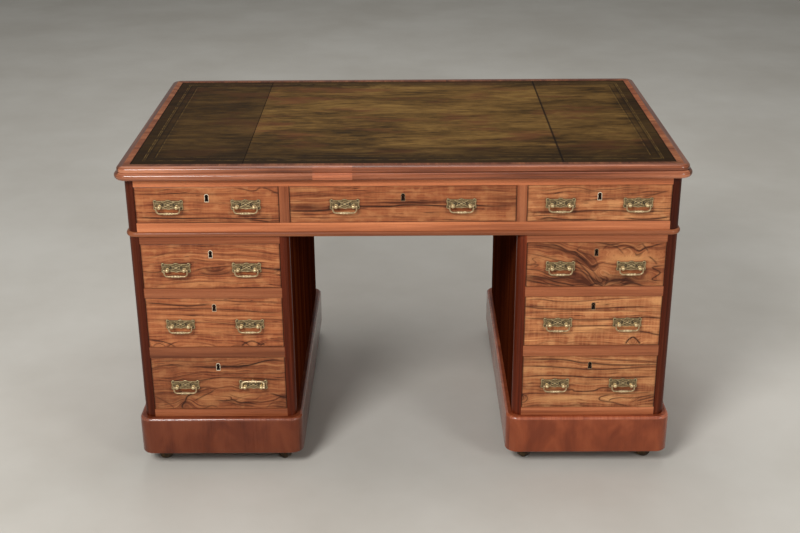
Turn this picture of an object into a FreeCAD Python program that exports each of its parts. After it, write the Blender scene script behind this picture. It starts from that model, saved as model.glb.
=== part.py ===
"""Nine-drawer pedestal desk with a leather-lined top, in millimetres.

The origin is on the floor under the middle of the desk. +X is the sitter's right, +Y the back and
+Z up. Every piece of wood, brass and leather is a solid of its own, grouped into nodes.
"""

import FreeCAD
import Part
import Sketcher
import math
import os
import re
import sys

doc = FreeCAD.newDocument("PedestalDesk")

# Driving dimensions, in millimetres
sizes = {
    # Whole body, without the overhanging top
    "body_width": 1250.0,
    "body_depth": 760.0,
    "kneehole_width": 520.0,
    # Plinths
    "plinth_clearance": 42.0,
    "plinth_height": 95.0,
    "plinth_projection": 14.0,
    "plinth_bearing": 18.0,
    "plinth_corner_radius": 30.0,
    "plinth_edge_radius": 6.0,
    "block_width": 60.0,
    # Carcase stock
    "side_thickness": 18.0,
    "frame_depth": 25.0,
    "back_panel_thickness": 15.0,
    "back_rail_height": 60.0,
    "corner_radius": 20.0,
    "outer_post_width": 25.0,
    "inner_post_width": 21.0,
    "runner_width": 22.0,
    "guide_height": 20.0,
    "dust_board_thickness": 6.0,
    "stop_width": 30.0,
    "stop_depth": 8.0,
    "stop_height": 5.0,
    # Pedestal heights, from the plinth upwards
    "pedestal_bottom_rail": 20.0,
    "bottom_drawer_height": 138.5,
    "lower_blade_height": 27.0,
    "middle_drawer_height": 127.0,
    "upper_blade_height": 24.0,
    "top_drawer_height": 110.5,
    "pedestal_top_rail": 18.0,
    # Frieze
    "bead_height": 12.0,
    "bead_projection": 5.5,
    "bead_round": 5.4,
    "frieze_bottom_rail": 20.5,
    "frieze_drawer_height": 87.0,
    "frieze_top_rail": 18.5,
    "frieze_post_width": 22.0,
    "muntin_width": 22.5,
    "centre_drawer_width": 511.0,
    "partition_thickness": 16.0,
    "frieze_board_thickness": 10.0,
    # Top
    "top_thickness": 30.0,
    "top_overhang": 20.0,
    "top_corner_radius": 32.0,
    "moulding_width": 21.0,
    "nose_height": 17.0,
    "nose_round": 8.2,
    "quirk_inset": 6.5,
    "quirk_round": 3.0,
    "upper_edge_round": 7.0,
    "band_width": 14.0,
    "band_thickness": 1.5,
    "leather_thickness": 1.2,
    "leather_seam": 358.0,
    # Drawers
    "drawer_rear_gap": 20.0,
    "drawer_gap": 0.8,
    "front_thickness": 20.0,
    "drawer_side_thickness": 10.0,
    "drawer_back_thickness": 10.0,
    "drawer_bottom_thickness": 6.0,
    "drawer_bottom_rise": 8.0,
    "groove_depth": 5.0,
    "side_drop": 5.0,
    "back_drop": 8.0,
    "tail_length": 13.0,
    "tail_root": 13.0,
    "tail_flare": 3.0,
    # Handles
    "plate_width": 68.0,
    "plate_rise": 16.0,
    "plate_fall": 9.0,
    "plate_thickness": 1.8,
    "roundel_radius": 4.5,
    "crest_radius": 11.0,
    "post_spacing": 38.8,
    "neck_radius": 2.9,
    "head_radius": 4.6,
    "head_projection": 9.5,
    "bolt_radius": 2.2,
    "bolt_play": 0.2,
    "nut_radius": 7.0,
    "nut_thickness": 3.0,
    "pin_radius": 1.5,
    "pin_depth": 3.0,
    "pin_play": 0.05,
    "bail_radius": 2.2,
    "bail_width": 52.8,
    "bail_drop": 14.5,
    "bail_corner_radius": 8.0,
    "bail_boss_radius": 2.8,
    "bail_boss_gap": 0.4,
    "bail_boss_lip": 0.5,
    "swell_radius": 3.3,
    "swell_length": 22.0,
    "swell_middle": 10.0,
    "swell_tip_radius": 1.8,
    "side_handle_shift": 1.35,
    "centre_handle_shift": 3.85,
    "pedestal_handle_shift": 5.85,
    "frieze_handle_drop": 2.5,
    "pedestal_handle_drop": 6.5,
    # Escutcheons and locks
    "escutcheon_width": 10.0,
    "escutcheon_height": 19.5,
    "escutcheon_thickness": 1.2,
    "escutcheon_proud": 0.3,
    "key_radius": 2.3,
    "key_slot_width": 2.8,
    "key_slot_drop": 7.0,
    "frieze_key_drop": 24.5,
    "pedestal_key_drop": 22.5,
    "lock_width": 50.0,
    "lock_rise": 18.0,
    "lock_fall": 15.0,
    "lock_depth": 9.0,
    "lock_bolt_width": 16.0,
    "lock_bolt_thickness": 4.0,
    "lock_bolt_height": 14.0,
    # Castors
    "wheel_radius": 19.0,
    "wheel_width": 15.0,
    "wheel_edge_radius": 2.0,
    "axle_radius": 2.6,
    "axle_play": 0.05,
    "castor_trail": 12.0,
    "castor_inset": 28.0,
    "fork_thickness": 3.0,
    "fork_play": 0.8,
    "fork_width": 14.0,
    "crown_clearance": 3.0,
    "crown_thickness": 4.0,
    "crown_radius": 14.0,
    "neck_height": 3.9,
    "swivel_neck_radius": 9.0,
    "swivel_play": 0.1,
    "stem_radius": 5.0,
    "stem_length": 30.0,
    "stem_play": 0.05,
    "castor_plate_width": 52.0,
    "castor_plate_thickness": 3.0,
    "screw_radius": 1.8,
    "screw_head_radius": 3.6,
    "screw_head_height": 1.6,
    "screw_length": 18.0,
    "screw_inset": 7.0,
    # How far every cutter runs past what it cuts
    "overrun": 2.0,
}

sheet = doc.addObject("Spreadsheet::Sheet", "Sizes")
for row, (alias, value) in enumerate(sizes.items(), start=1):
    sheet.set(f"A{row}", alias)
    sheet.set(f"B{row}", str(value))
    sheet.setAlias(f"B{row}", alias)
doc.recompute()

along_x = FreeCAD.Rotation(FreeCAD.Vector(0, 1, 0), 90)
along_y = FreeCAD.Rotation(FreeCAD.Vector(1, 0, 0), -90)


def bound(text):
    """An expression in plain words, with each size's name turned into its sheet cell."""
    return re.sub(r"[a-z][a-z_]*", lambda word: f"Sizes.{word[0]}" if word[0] in sizes else word[0], text)


def place(piece, x="0", y="0", z="0"):
    """Puts a piece where three expressions say, and leaves its turn as it is."""
    for axis, position in zip("xyz", (x, y, z)):
        piece.setExpression(f"Placement.Base.{axis}", bound(position))
    return piece


def minus(text):
    return f"-({text})"


def flip(span):
    """The same range on the other side of the middle."""
    return minus(span[1]), minus(span[0])


def board(name, across, along, up):
    """A board that fills three ranges, each a pair of expressions."""
    piece = doc.addObject("Part::Box", name)
    for side, (low, high) in zip(("Length", "Width", "Height"), (across, along, up)):
        piece.setExpression(side, bound(f"({high}) - ({low})"))
    return place(piece, across[0], along[0], up[0])


def rod(name, radius, length, x="0", y="0", z="0", turn=None):
    """A round rod that runs up from a point, or along the axis that turn gives."""
    piece = doc.addObject("Part::Cylinder", name)
    piece.setExpression("Radius", bound(radius))
    piece.setExpression("Height", bound(length))
    if turn is not None:
        piece.Placement.Rotation = turn
    return place(piece, x, y, z)


def mitre(name, width, depth, reach, up, quarter_turns, x="0"):
    """The mitred part of a frame of the given outside size that one of its four sides takes."""
    piece = doc.addObject("Part::Wedge", name)
    bounds = {
        "Xmin": f"-({width})/2",
        "Xmax": f"({width})/2",
        "X2min": f"-({width})/2 + {reach}",
        "X2max": f"({width})/2 - {reach}",
        "Ymin": f"-({depth})/2",
        "Ymax": f"-({depth})/2 + {reach}",
        "Zmin": up[0],
        "Zmax": up[1],
        "Z2min": up[0],
        "Z2max": up[1],
    }
    # The wedge refuses an empty range on the way, so its far limits are set first
    for side in ("Xmax", "X2max", "Ymax", "Zmax", "Z2max", "Xmin", "X2min", "Ymin", "Zmin", "Z2min"):
        piece.setExpression(side, bound(bounds[side]))
    piece.Placement.Rotation = FreeCAD.Rotation(FreeCAD.Vector(0, 0, 1), 90 * quarter_turns)
    return place(piece, x)


def fuse(name, pieces):
    joined = doc.addObject("Part::MultiFuse", name)
    joined.Shapes = pieces
    joined.Refine = True
    return joined


def cut(name, base, tool):
    result = doc.addObject("Part::Cut", name)
    result.Base = base
    result.Tool = tool
    return result


def common(name, base, tool):
    result = doc.addObject("Part::Common", name)
    result.Base = base
    result.Tool = tool
    return result


def group(name, pieces, x="0", y="0", z="0", turn=None):
    """Separate solids that share a node, or a made form set in its place."""
    result = doc.addObject("Part::Compound", name)
    result.Links = pieces
    if turn is not None:
        result.Placement.Rotation = turn
    return place(result, x, y, z)


def edges(shape, test):
    """Names of the edges whose every point passes a test of x, y and z."""
    names = []
    for number, edge in enumerate(shape.Edges, start=1):
        points = edge.discretize(5)
        if all(test(point) for point in points):
            names.append(f"Edge{number}")
    return names


def body_block(name, width, depth, height, corner=False):
    """A body with one box, centred on its own middle, or starting at its corner."""
    body = doc.addObject("PartDesign::Body", name)
    block = body.newObject("PartDesign::AdditiveBox", name + "_block")
    block.setExpression("Length", bound(width))
    block.setExpression("Width", bound(depth))
    block.setExpression("Height", bound(height))
    if not corner:
        place(block, f"-({width})/2", f"-({depth})/2")
    doc.recompute()
    return body, block


def round_edges(body, base, name, radius, names):
    """A fillet whose radius follows the sheet."""
    fillet = body.newObject("PartDesign::Fillet", name)
    fillet.Base = (base, names)
    fillet.setExpression("Radius", bound(radius))
    doc.recompute()
    return fillet


def near(value, other):
    """Whether two lengths are the same, to a thousandth of the cutters' overrun."""
    return abs(value - other) < sheet.overrun / 1000


def rounded_slab(name, width, depth, height, corner_radius, top_round=None, foot_round=None):
    """A slab with round corners, and round upper and lower edges where radii are given."""
    body, base = body_block(name, width, depth, height)
    verticals = []
    for number, edge in enumerate(base.Shape.Edges, start=1):
        first, last = edge.Vertexes[0].Point, edge.Vertexes[-1].Point
        if near(first.x, last.x) and near(first.y, last.y):
            verticals.append(f"Edge{number}")
    base = round_edges(body, base, name + "_corners", corner_radius, verticals)
    for suffix, radius, level in (("_upper", top_round, "ZMax"), ("_lower", foot_round, "ZMin")):
        if radius is None:
            continue
        height_there = getattr(base.Shape.BoundBox, level)
        rim = edges(base.Shape, lambda point, level=height_there: near(point.z, level))
        base = round_edges(body, base, name + suffix, radius, rim)
    return body


def mitred_frame(name, outer, inner, width, depth, reach, up, x="0"):
    """Four mitred lengths of what lies between an outer and an inner form."""
    ring = cut(name + "_ring", outer, inner)
    lengths = []
    for turns, side in enumerate(("front", "right", "back", "left")):
        spans = (width, depth) if turns % 2 == 0 else (depth, width)
        wedge = mitre(f"{name}_{side}_mitre", *spans, reach, up, turns, x)
        lengths.append(common(f"{name}_{side}", ring, wedge))
    return lengths


def post(name, width, depth, low, high, corner_x, corner_y, turns):
    """A corner post whose outer corner is rounded. Turns counts the quarter turns of its corner."""
    sides = (width, depth) if turns % 2 == 0 else (depth, width)
    body, block = body_block(name, *sides, f"({high}) - ({low})", corner=True)
    nose = edges(block.Shape, lambda point: near(point.x, 0) and near(point.y, 0))
    round_edges(body, block, name + "_round", "corner_radius", nose)
    body.Placement.Rotation = FreeCAD.Rotation(FreeCAD.Vector(0, 0, 1), 90 * turns)
    return place(body, corner_x, corner_y, low)


# Levels, from the floor upwards
pedestal_base = "plinth_clearance + plinth_height"
bottom_drawer_low = f"{pedestal_base} + pedestal_bottom_rail"
lower_blade_low = f"{bottom_drawer_low} + bottom_drawer_height"
middle_drawer_low = f"{lower_blade_low} + lower_blade_height"
upper_blade_low = f"{middle_drawer_low} + middle_drawer_height"
top_drawer_low = f"{upper_blade_low} + upper_blade_height"
pedestal_rail_low = f"{top_drawer_low} + top_drawer_height"
pedestal_top = f"{pedestal_rail_low} + pedestal_top_rail"
frieze_drawer_low = f"{pedestal_top} + bead_height + frieze_bottom_rail"
frieze_rail_low = f"{frieze_drawer_low} + frieze_drawer_height"
top_low = f"{frieze_rail_low} + frieze_top_rail"
top_high = f"{top_low} + top_thickness"

# Depths, from the front backwards
front = "-body_depth/2"
frame_back = f"{front} + frame_depth"
back_frame_front = "body_depth/2 - frame_depth"
back = "body_depth/2"

# The whole depth between the frames, where sides, runners, guides and boards lie
inside_depth = (frame_back, back_frame_front)


def make_top():
    """Core board, crossbanding and moulded edge. The leather lies in the recess between them."""
    width = "body_width + 2*top_overhang"
    depth = "body_depth + 2*top_overhang"
    nose = rounded_slab(
        "top_nose_form", width, depth, "nose_height", "top_corner_radius", "nose_round", "nose_round"
    )
    place(nose, z=top_low)
    upper = rounded_slab(
        "top_upper_form",
        f"{width} - 2*quirk_inset",
        f"{depth} - 2*quirk_inset",
        "top_thickness - nose_height",
        "top_corner_radius - quirk_inset",
        "upper_edge_round",
        "quirk_round",
    )
    place(upper, z=f"{top_low} + nose_height")
    whole = fuse("top_edge_form", [nose, upper])
    core_across = (f"-({width})/2 + moulding_width", f"({width})/2 - moulding_width")
    core_along = (f"-({depth})/2 + moulding_width", f"({depth})/2 - moulding_width")
    hollow_up = (f"{top_low} - overrun", f"{top_high} + overrun")
    hollow = board("top_edge_hollow", core_across, core_along, hollow_up)
    edge = mitred_frame(
        "top_edge", whole, hollow, width, depth, "(moulding_width + overrun)", (top_low, top_high)
    )
    core = board("top_core", core_across, core_along, (top_low, f"{top_high} - band_thickness"))
    band_up = (f"{top_high} - band_thickness", top_high)
    band_outside = board("band_outside", core_across, core_along, band_up)
    leather_across = (f"{core_across[0]} + band_width", f"{core_across[1]} - band_width")
    leather_along = (f"{core_along[0]} + band_width", f"{core_along[1]} - band_width")
    band_inside = board(
        "band_inside", leather_across, leather_along, (f"{band_up[0]} - overrun", f"{top_high} + overrun")
    )
    bands = mitred_frame(
        "crossband",
        band_outside,
        band_inside,
        f"{width} - 2*moulding_width",
        f"{depth} - 2*moulding_width",
        "(band_width + overrun)",
        band_up,
    )
    skin_up = (band_up[0], f"{band_up[0]} + leather_thickness")
    skins = [
        board("leather_left", (leather_across[0], "-leather_seam"), leather_along, skin_up),
        board("leather_centre", ("-leather_seam", "leather_seam"), leather_along, skin_up),
        board("leather_right", ("leather_seam", leather_across[1]), leather_along, skin_up),
    ]
    return {
        "desk_top": group("desk_top", [core, *edge, *bands]),
        "leather_skins": group("leather_skins", skins),
    }


def corner_posts(name, left, right, left_width, right_width, low, high):
    """Four posts of one carcase, round at its outer corners."""
    return [
        post(f"{name}_front_left_post", left_width, "frame_depth", low, high, left, front, 0),
        post(f"{name}_front_right_post", right_width, "frame_depth", low, high, right, front, 1),
        post(f"{name}_back_right_post", right_width, "frame_depth", low, high, right, back, 2),
        post(f"{name}_back_left_post", left_width, "frame_depth", low, high, left, back, 3),
    ]


def stops(name, opening, low):
    """Two blocks on the rail, which the drawer front meets when it is shut."""
    middle = f"(({opening[0]}) + ({opening[1]}))/2"
    quarter = f"(({opening[1]}) - ({opening[0]}))/4"
    along = (f"{front} + front_thickness", f"{front} + front_thickness + stop_depth")
    pieces = []
    for side, sign in (("left", "-"), ("right", "+")):
        centre = f"{middle} {sign} {quarter}"
        across = (f"{centre} - stop_width/2", f"{centre} + stop_width/2")
        pieces.append(board(f"{name}_{side}_stop", across, along, (low, f"{low} + stop_height")))
    return pieces


# Drawer openings across the frieze and across the left pedestal
side_opening = (
    "-body_width/2 + frieze_post_width",
    "-centre_drawer_width/2 - muntin_width",
)
centre_opening = ("-centre_drawer_width/2", "centre_drawer_width/2")
pedestal_outside = "-body_width/2"
pedestal_inside = "-kneehole_width/2"
pedestal_opening = (f"{pedestal_outside} + outer_post_width", f"{pedestal_inside} - inner_post_width")


def make_frieze():
    """Top section of the carcase, with its three drawer spaces and the bead round its foot."""
    outside = "body_width/2"
    low, high = pedestal_top, top_low
    rail_across = ("-body_width/2 + frieze_post_width", "body_width/2 - frieze_post_width")
    rail_along = (front, frame_back)
    post_widths = ("frieze_post_width", "frieze_post_width")
    pieces = corner_posts("frieze", minus(outside), outside, *post_widths, low, high)
    pieces.append(board("frieze_foot_rail", rail_across, rail_along, (low, frieze_drawer_low)))
    pieces.append(board("frieze_head_rail", rail_across, rail_along, (frieze_rail_low, high)))
    muntin = (side_opening[1], centre_opening[0])
    side = ("-body_width/2", "-body_width/2 + side_thickness")
    partition_middle = "-centre_drawer_width/2 - muntin_width/2"
    partition = (
        f"{partition_middle} - partition_thickness/2",
        f"{partition_middle} + partition_thickness/2",
    )
    floor_high = f"{low} + frieze_board_thickness"
    # Each drawer edge has a runner below, a guide beside it and a kicker above
    drawer_edges = {
        "outer": ((side[1], f"{side_opening[0]} + runner_width"), (side[1], side_opening[0])),
        "inner": ((f"{side_opening[1]} - runner_width", partition[0]), (side_opening[1], partition[0])),
        "centre": ((partition[1], f"{centre_opening[0]} + runner_width"), (partition[1], centre_opening[0])),
    }
    for name, turned in (("left", False), ("right", True)):
        def across(span, turned=turned):
            return flip(span) if turned else span

        muntin_up = (frieze_drawer_low, frieze_rail_low)
        pieces.append(board(f"frieze_{name}_muntin", across(muntin), rail_along, muntin_up))
        pieces.append(board(f"frieze_{name}_side", across(side), inside_depth, (low, high)))
        partition_up = (floor_high, high)
        pieces.append(board(f"frieze_{name}_partition", across(partition), inside_depth, partition_up))
        for edge, (runner, guide) in drawer_edges.items():
            tag = f"frieze_{name}_{edge}"
            runner_up = (floor_high, frieze_drawer_low)
            guide_up = (frieze_drawer_low, f"{frieze_drawer_low} + guide_height")
            pieces.append(board(tag + "_runner", across(runner), inside_depth, runner_up))
            pieces.append(board(tag + "_kicker", across(runner), inside_depth, (frieze_rail_low, high)))
            pieces.append(board(tag + "_guide", across(guide), inside_depth, guide_up))
        pieces += stops(f"frieze_{name}", across(side_opening), frieze_drawer_low)
    pieces += stops("frieze_centre", centre_opening, frieze_drawer_low)
    pieces.append(board("frieze_back", rail_across, (back_frame_front, back), (low, high)))
    inner_across = (side[1], minus(side[1]))
    pieces.append(board("frieze_floor", inner_across, inside_depth, (low, floor_high)))
    bead_outer = rounded_slab(
        "bead_outer_form",
        "body_width + 2*bead_projection",
        "body_depth + 2*bead_projection",
        "bead_height",
        "corner_radius + bead_projection",
        "bead_round",
        "bead_round",
    )
    place(bead_outer, z=low)
    bead_inner = rounded_slab(
        "bead_inner_form", "body_width", "body_depth", "bead_height + 2*overrun", "corner_radius"
    )
    place(bead_inner, z=f"{low} - overrun")
    pieces += mitred_frame(
        "frieze_bead",
        bead_outer,
        bead_inner,
        "body_width + 2*bead_projection",
        "body_depth + 2*bead_projection",
        "(bead_projection + corner_radius)",
        (low, f"{low} + bead_height"),
    )
    return {"frieze_carcase": group("frieze_carcase", pieces)}


def make_pedestals():
    """The left pedestal, and the right one as its mirror image."""
    low, high = pedestal_base, pedestal_top
    outer_side = (pedestal_outside, f"{pedestal_outside} + side_thickness")
    inner_side = (f"{pedestal_inside} - side_thickness", pedestal_inside)
    opening = pedestal_opening
    rail_along = (front, frame_back)
    inner_across = (outer_side[1], inner_side[0])
    pieces = corner_posts(
        "pedestal", pedestal_outside, pedestal_inside, "outer_post_width", "inner_post_width", low, high
    )
    for name, bottom, top in (
        ("foot_rail", low, bottom_drawer_low),
        ("lower_blade", lower_blade_low, middle_drawer_low),
        ("upper_blade", upper_blade_low, top_drawer_low),
        ("head_rail", pedestal_rail_low, high),
    ):
        pieces.append(board(f"pedestal_{name}", opening, rail_along, (bottom, top)))
    pieces.append(board("pedestal_outer_side", outer_side, inside_depth, (low, high)))
    pieces.append(board("pedestal_inner_side", inner_side, inside_depth, (low, high)))
    # The back is a panel set in between two rails
    back_along = (back_frame_front, back)
    panel_along = (back_frame_front, f"{back_frame_front} + back_panel_thickness")
    panel_up = (f"{low} + back_rail_height", f"{high} - back_rail_height")
    pieces.append(board("pedestal_back_foot_rail", opening, back_along, (low, panel_up[0])))
    pieces.append(board("pedestal_back_head_rail", opening, back_along, (panel_up[1], high)))
    pieces.append(board("pedestal_back_panel", opening, panel_along, panel_up))
    pieces.append(board("pedestal_floor", inner_across, inside_depth, (low, bottom_drawer_low)))
    pieces.append(board("pedestal_ceiling", inner_across, inside_depth, (pedestal_rail_low, high)))
    outer_runner = (outer_side[1], f"{opening[0]} + runner_width")
    inner_runner = (f"{opening[1]} - runner_width", inner_side[0])
    for name, bottom, top in (
        ("middle", lower_blade_low, middle_drawer_low),
        ("top", upper_blade_low, top_drawer_low),
    ):
        pieces.append(board(f"pedestal_{name}_outer_runner", outer_runner, inside_depth, (bottom, top)))
        pieces.append(board(f"pedestal_{name}_inner_runner", inner_runner, inside_depth, (bottom, top)))
        middle = f"(({bottom}) + ({top}))/2"
        dust_up = (f"{middle} - dust_board_thickness/2", f"{middle} + dust_board_thickness/2")
        dust_across = (outer_runner[1], inner_runner[0])
        pieces.append(board(f"pedestal_{name}_dust_board", dust_across, inside_depth, dust_up))
    for name, level in (
        ("bottom", bottom_drawer_low),
        ("middle", middle_drawer_low),
        ("top", top_drawer_low),
    ):
        guide_up = (level, f"{level} + guide_height")
        outer_guide, inner_guide = (outer_side[1], opening[0]), (opening[1], inner_side[0])
        pieces.append(board(f"pedestal_{name}_outer_guide", outer_guide, inside_depth, guide_up))
        pieces.append(board(f"pedestal_{name}_inner_guide", inner_guide, inside_depth, guide_up))
        pieces += stops(f"pedestal_{name}", opening, level)
    left = group("left_pedestal", pieces)
    right = doc.addObject("Part::Mirroring", "right_pedestal")
    right.Source = left
    right.Normal = FreeCAD.Vector(1, 0, 0)
    return {"left_pedestal": left, "right_pedestal": right}


# Castor levels, and where the four of each pedestal swivel
crown_low = "2*wheel_radius + crown_clearance"
plate_low = f"{crown_low} + crown_thickness + neck_height + swivel_play"
block_low = f"{plate_low} + castor_plate_thickness"
castor_from_side = "(plinth_bearing + castor_inset)"
castor_places = {
    "front_outer": (f"-body_width/2 + {castor_from_side}", f"-body_depth/2 + {castor_from_side}"),
    "front_inner": (f"-kneehole_width/2 - {castor_from_side}", f"-body_depth/2 + {castor_from_side}"),
    "back_outer": (f"-body_width/2 + {castor_from_side}", f"body_depth/2 - {castor_from_side}"),
    "back_inner": (f"-kneehole_width/2 - {castor_from_side}", f"body_depth/2 - {castor_from_side}"),
}
# Which way each castor trails, in degrees about the vertical
castor_turns = {
    "left_front_outer": 205,
    "left_front_inner": 320,
    "left_back_outer": 75,
    "left_back_inner": 160,
    "right_front_outer": 340,
    "right_front_inner": 215,
    "right_back_outer": 110,
    "right_back_inner": 30,
}


def castor_screws(name, x, y):
    """Four screws of one castor plate, with their heads under it."""
    reach = "(castor_plate_width/2 - screw_inset)"
    pieces = []
    for number, (across, along) in enumerate((("-", "-"), ("+", "-"), ("+", "+"), ("-", "+")), start=1):
        centre_x = f"{x} {across} {reach}"
        centre_y = f"{y} {along} {reach}"
        tag = f"{name}_screw_{number}"
        head_low = f"{plate_low} - screw_head_height"
        head = rod(tag + "_head", "screw_head_radius", "screw_head_height", centre_x, centre_y, head_low)
        shank = rod(tag + "_shank", "screw_radius", "screw_length", centre_x, centre_y, plate_low)
        pieces.append(fuse(tag, [head, shank]))
    return pieces


def make_plinths():
    """Moulded plinths with corner blocks that carry the castors, and the castor plates."""
    centre = "-(body_width + kneehole_width)/4"
    width = "(body_width - kneehole_width)/2 + 2*plinth_projection"
    depth = "body_depth + 2*plinth_projection"
    outer = rounded_slab(
        "plinth_outer_form", width, depth, "plinth_height", "plinth_corner_radius", "plinth_edge_radius"
    )
    place(outer, centre, z="plinth_clearance")
    across = (f"{pedestal_outside} + plinth_bearing", f"{pedestal_inside} - plinth_bearing")
    along = ("-body_depth/2 + plinth_bearing", "body_depth/2 - plinth_bearing")
    hollow = board(
        "plinth_hollow", across, along, ("plinth_clearance - overrun", f"{pedestal_base} + overrun")
    )
    pieces = mitred_frame(
        "plinth",
        outer,
        hollow,
        width,
        depth,
        "(plinth_bearing + plinth_projection + overrun)",
        ("plinth_clearance", pedestal_base),
        centre,
    )
    plates = []
    block_places = {
        "outer": (across[0], f"{across[0]} + block_width"),
        "inner": (f"{across[1]} - block_width", across[1]),
        "front": (along[0], f"{along[0]} + block_width"),
        "back": (f"{along[1]} - block_width", along[1]),
    }
    for name, (x, y) in castor_places.items():
        end, side = name.split("_")
        stock = board(
            f"{name}_block_stock", block_places[side], block_places[end], (block_low, pedestal_base)
        )
        bore_length = "castor_plate_thickness + stem_length + 2*overrun"
        bore = rod(f"{name}_bore", "stem_radius + stem_play", bore_length, x, y, f"{plate_low} - overrun")
        screws = castor_screws(name, x, y)
        holes = group(f"{name}_holes", [bore, *screws])
        pieces.append(cut(f"{name}_block", stock, holes))
        plate_stock = board(
            f"{name}_plate_stock",
            (f"{x} - castor_plate_width/2", f"{x} + castor_plate_width/2"),
            (f"{y} - castor_plate_width/2", f"{y} + castor_plate_width/2"),
            (plate_low, block_low),
        )
        plates.append(cut(f"{name}_castor_plate", plate_stock, holes))
        plates += screws
    left = group("left_plinth", pieces)
    right = doc.addObject("Part::Mirroring", "right_plinth")
    right.Source = left
    right.Normal = FreeCAD.Vector(1, 0, 0)
    left_plates = group("left_castor_plates", plates)
    right_plates = doc.addObject("Part::Mirroring", "right_castor_plates")
    right_plates.Source = left_plates
    right_plates.Normal = FreeCAD.Vector(1, 0, 0)
    return {
        "left_plinth": left,
        "right_plinth": right,
        "castor_plates": group("castor_plates", [left_plates, right_plates]),
    }


def make_castors():
    """Swivelling forks with their stems and axles, and the wheels. Each trails its own way."""
    cheek_middle = "wheel_width/2 + fork_play + fork_thickness/2"
    parts = [
        rod("stem", "stem_radius", "stem_length", z=f"{crown_low} + crown_thickness + neck_height"),
        rod("swivel_neck", "swivel_neck_radius", "neck_height", z=f"{crown_low} + crown_thickness"),
        rod("crown_disc", "crown_radius", "crown_thickness", z=crown_low),
        board(
            "crown_arm",
            ("0", "castor_trail + fork_width/2"),
            (f"-({cheek_middle}) - fork_thickness/2", f"{cheek_middle} + fork_thickness/2"),
            (crown_low, f"{crown_low} + crown_thickness"),
        ),
        rod(
            "axle",
            "axle_radius",
            f"2*({cheek_middle}) + fork_thickness",
            "castor_trail",
            f"-({cheek_middle}) - fork_thickness/2",
            "wheel_radius",
            along_y,
        ),
    ]
    for name, sign in (("near", "-"), ("far", "")):
        low_y = f"{sign}({cheek_middle}) - fork_thickness/2"
        across = ("castor_trail - fork_width/2", "castor_trail + fork_width/2")
        along = (low_y, f"{low_y} + fork_thickness")
        parts.append(board(f"{name}_cheek", across, along, ("wheel_radius", crown_low)))
        eye = ("fork_width/2", "fork_thickness", "castor_trail", low_y, "wheel_radius", along_y)
        parts.append(rod(f"{name}_eye", *eye))
    fork = fuse("castor_fork_form", parts)
    wheel_body = doc.addObject("PartDesign::Body", "wheel_form")
    tread = wheel_body.newObject("PartDesign::AdditiveCylinder", "wheel_tread")
    tread.setExpression("Radius", bound("wheel_radius"))
    tread.setExpression("Height", bound("wheel_width"))
    doc.recompute()
    rims = [f"Edge{number}" for number, edge in enumerate(tread.Shape.Edges, start=1) if edge.isClosed()]
    round_edges(wheel_body, tread, "wheel_rims", "wheel_edge_radius", rims)
    bore = wheel_body.newObject("PartDesign::SubtractiveCylinder", "wheel_bore")
    bore.setExpression("Radius", bound("axle_radius + axle_play"))
    bore.setExpression("Height", bound("wheel_width"))
    doc.recompute()
    wheel_body.Placement.Rotation = along_y
    place(wheel_body, "castor_trail", "-wheel_width/2", "wheel_radius")
    nodes = {}
    for side, sign in (("left", ""), ("right", "-")):
        for corner, (x, y) in castor_places.items():
            name = f"{side}_{corner}"
            turn = FreeCAD.Rotation(FreeCAD.Vector(0, 0, 1), castor_turns[name])
            centre = f"{sign}({x})"
            nodes[f"{name}_fork"] = group(f"{name}_fork", [fork], centre, y, "0", turn)
            nodes[f"{name}_wheel"] = group(f"{name}_wheel", [wheel_body], centre, y, "0", turn)
    return nodes


def sketch_line(start, end):
    return Part.LineSegment(FreeCAD.Vector(*start), FreeCAD.Vector(*end))


def sketch_arc(centre, radius, first, last):
    circle = Part.Circle(FreeCAD.Vector(*centre), FreeCAD.Vector(0, 0, 1), radius)
    return Part.ArcOfCircle(circle, first, last)


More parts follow.
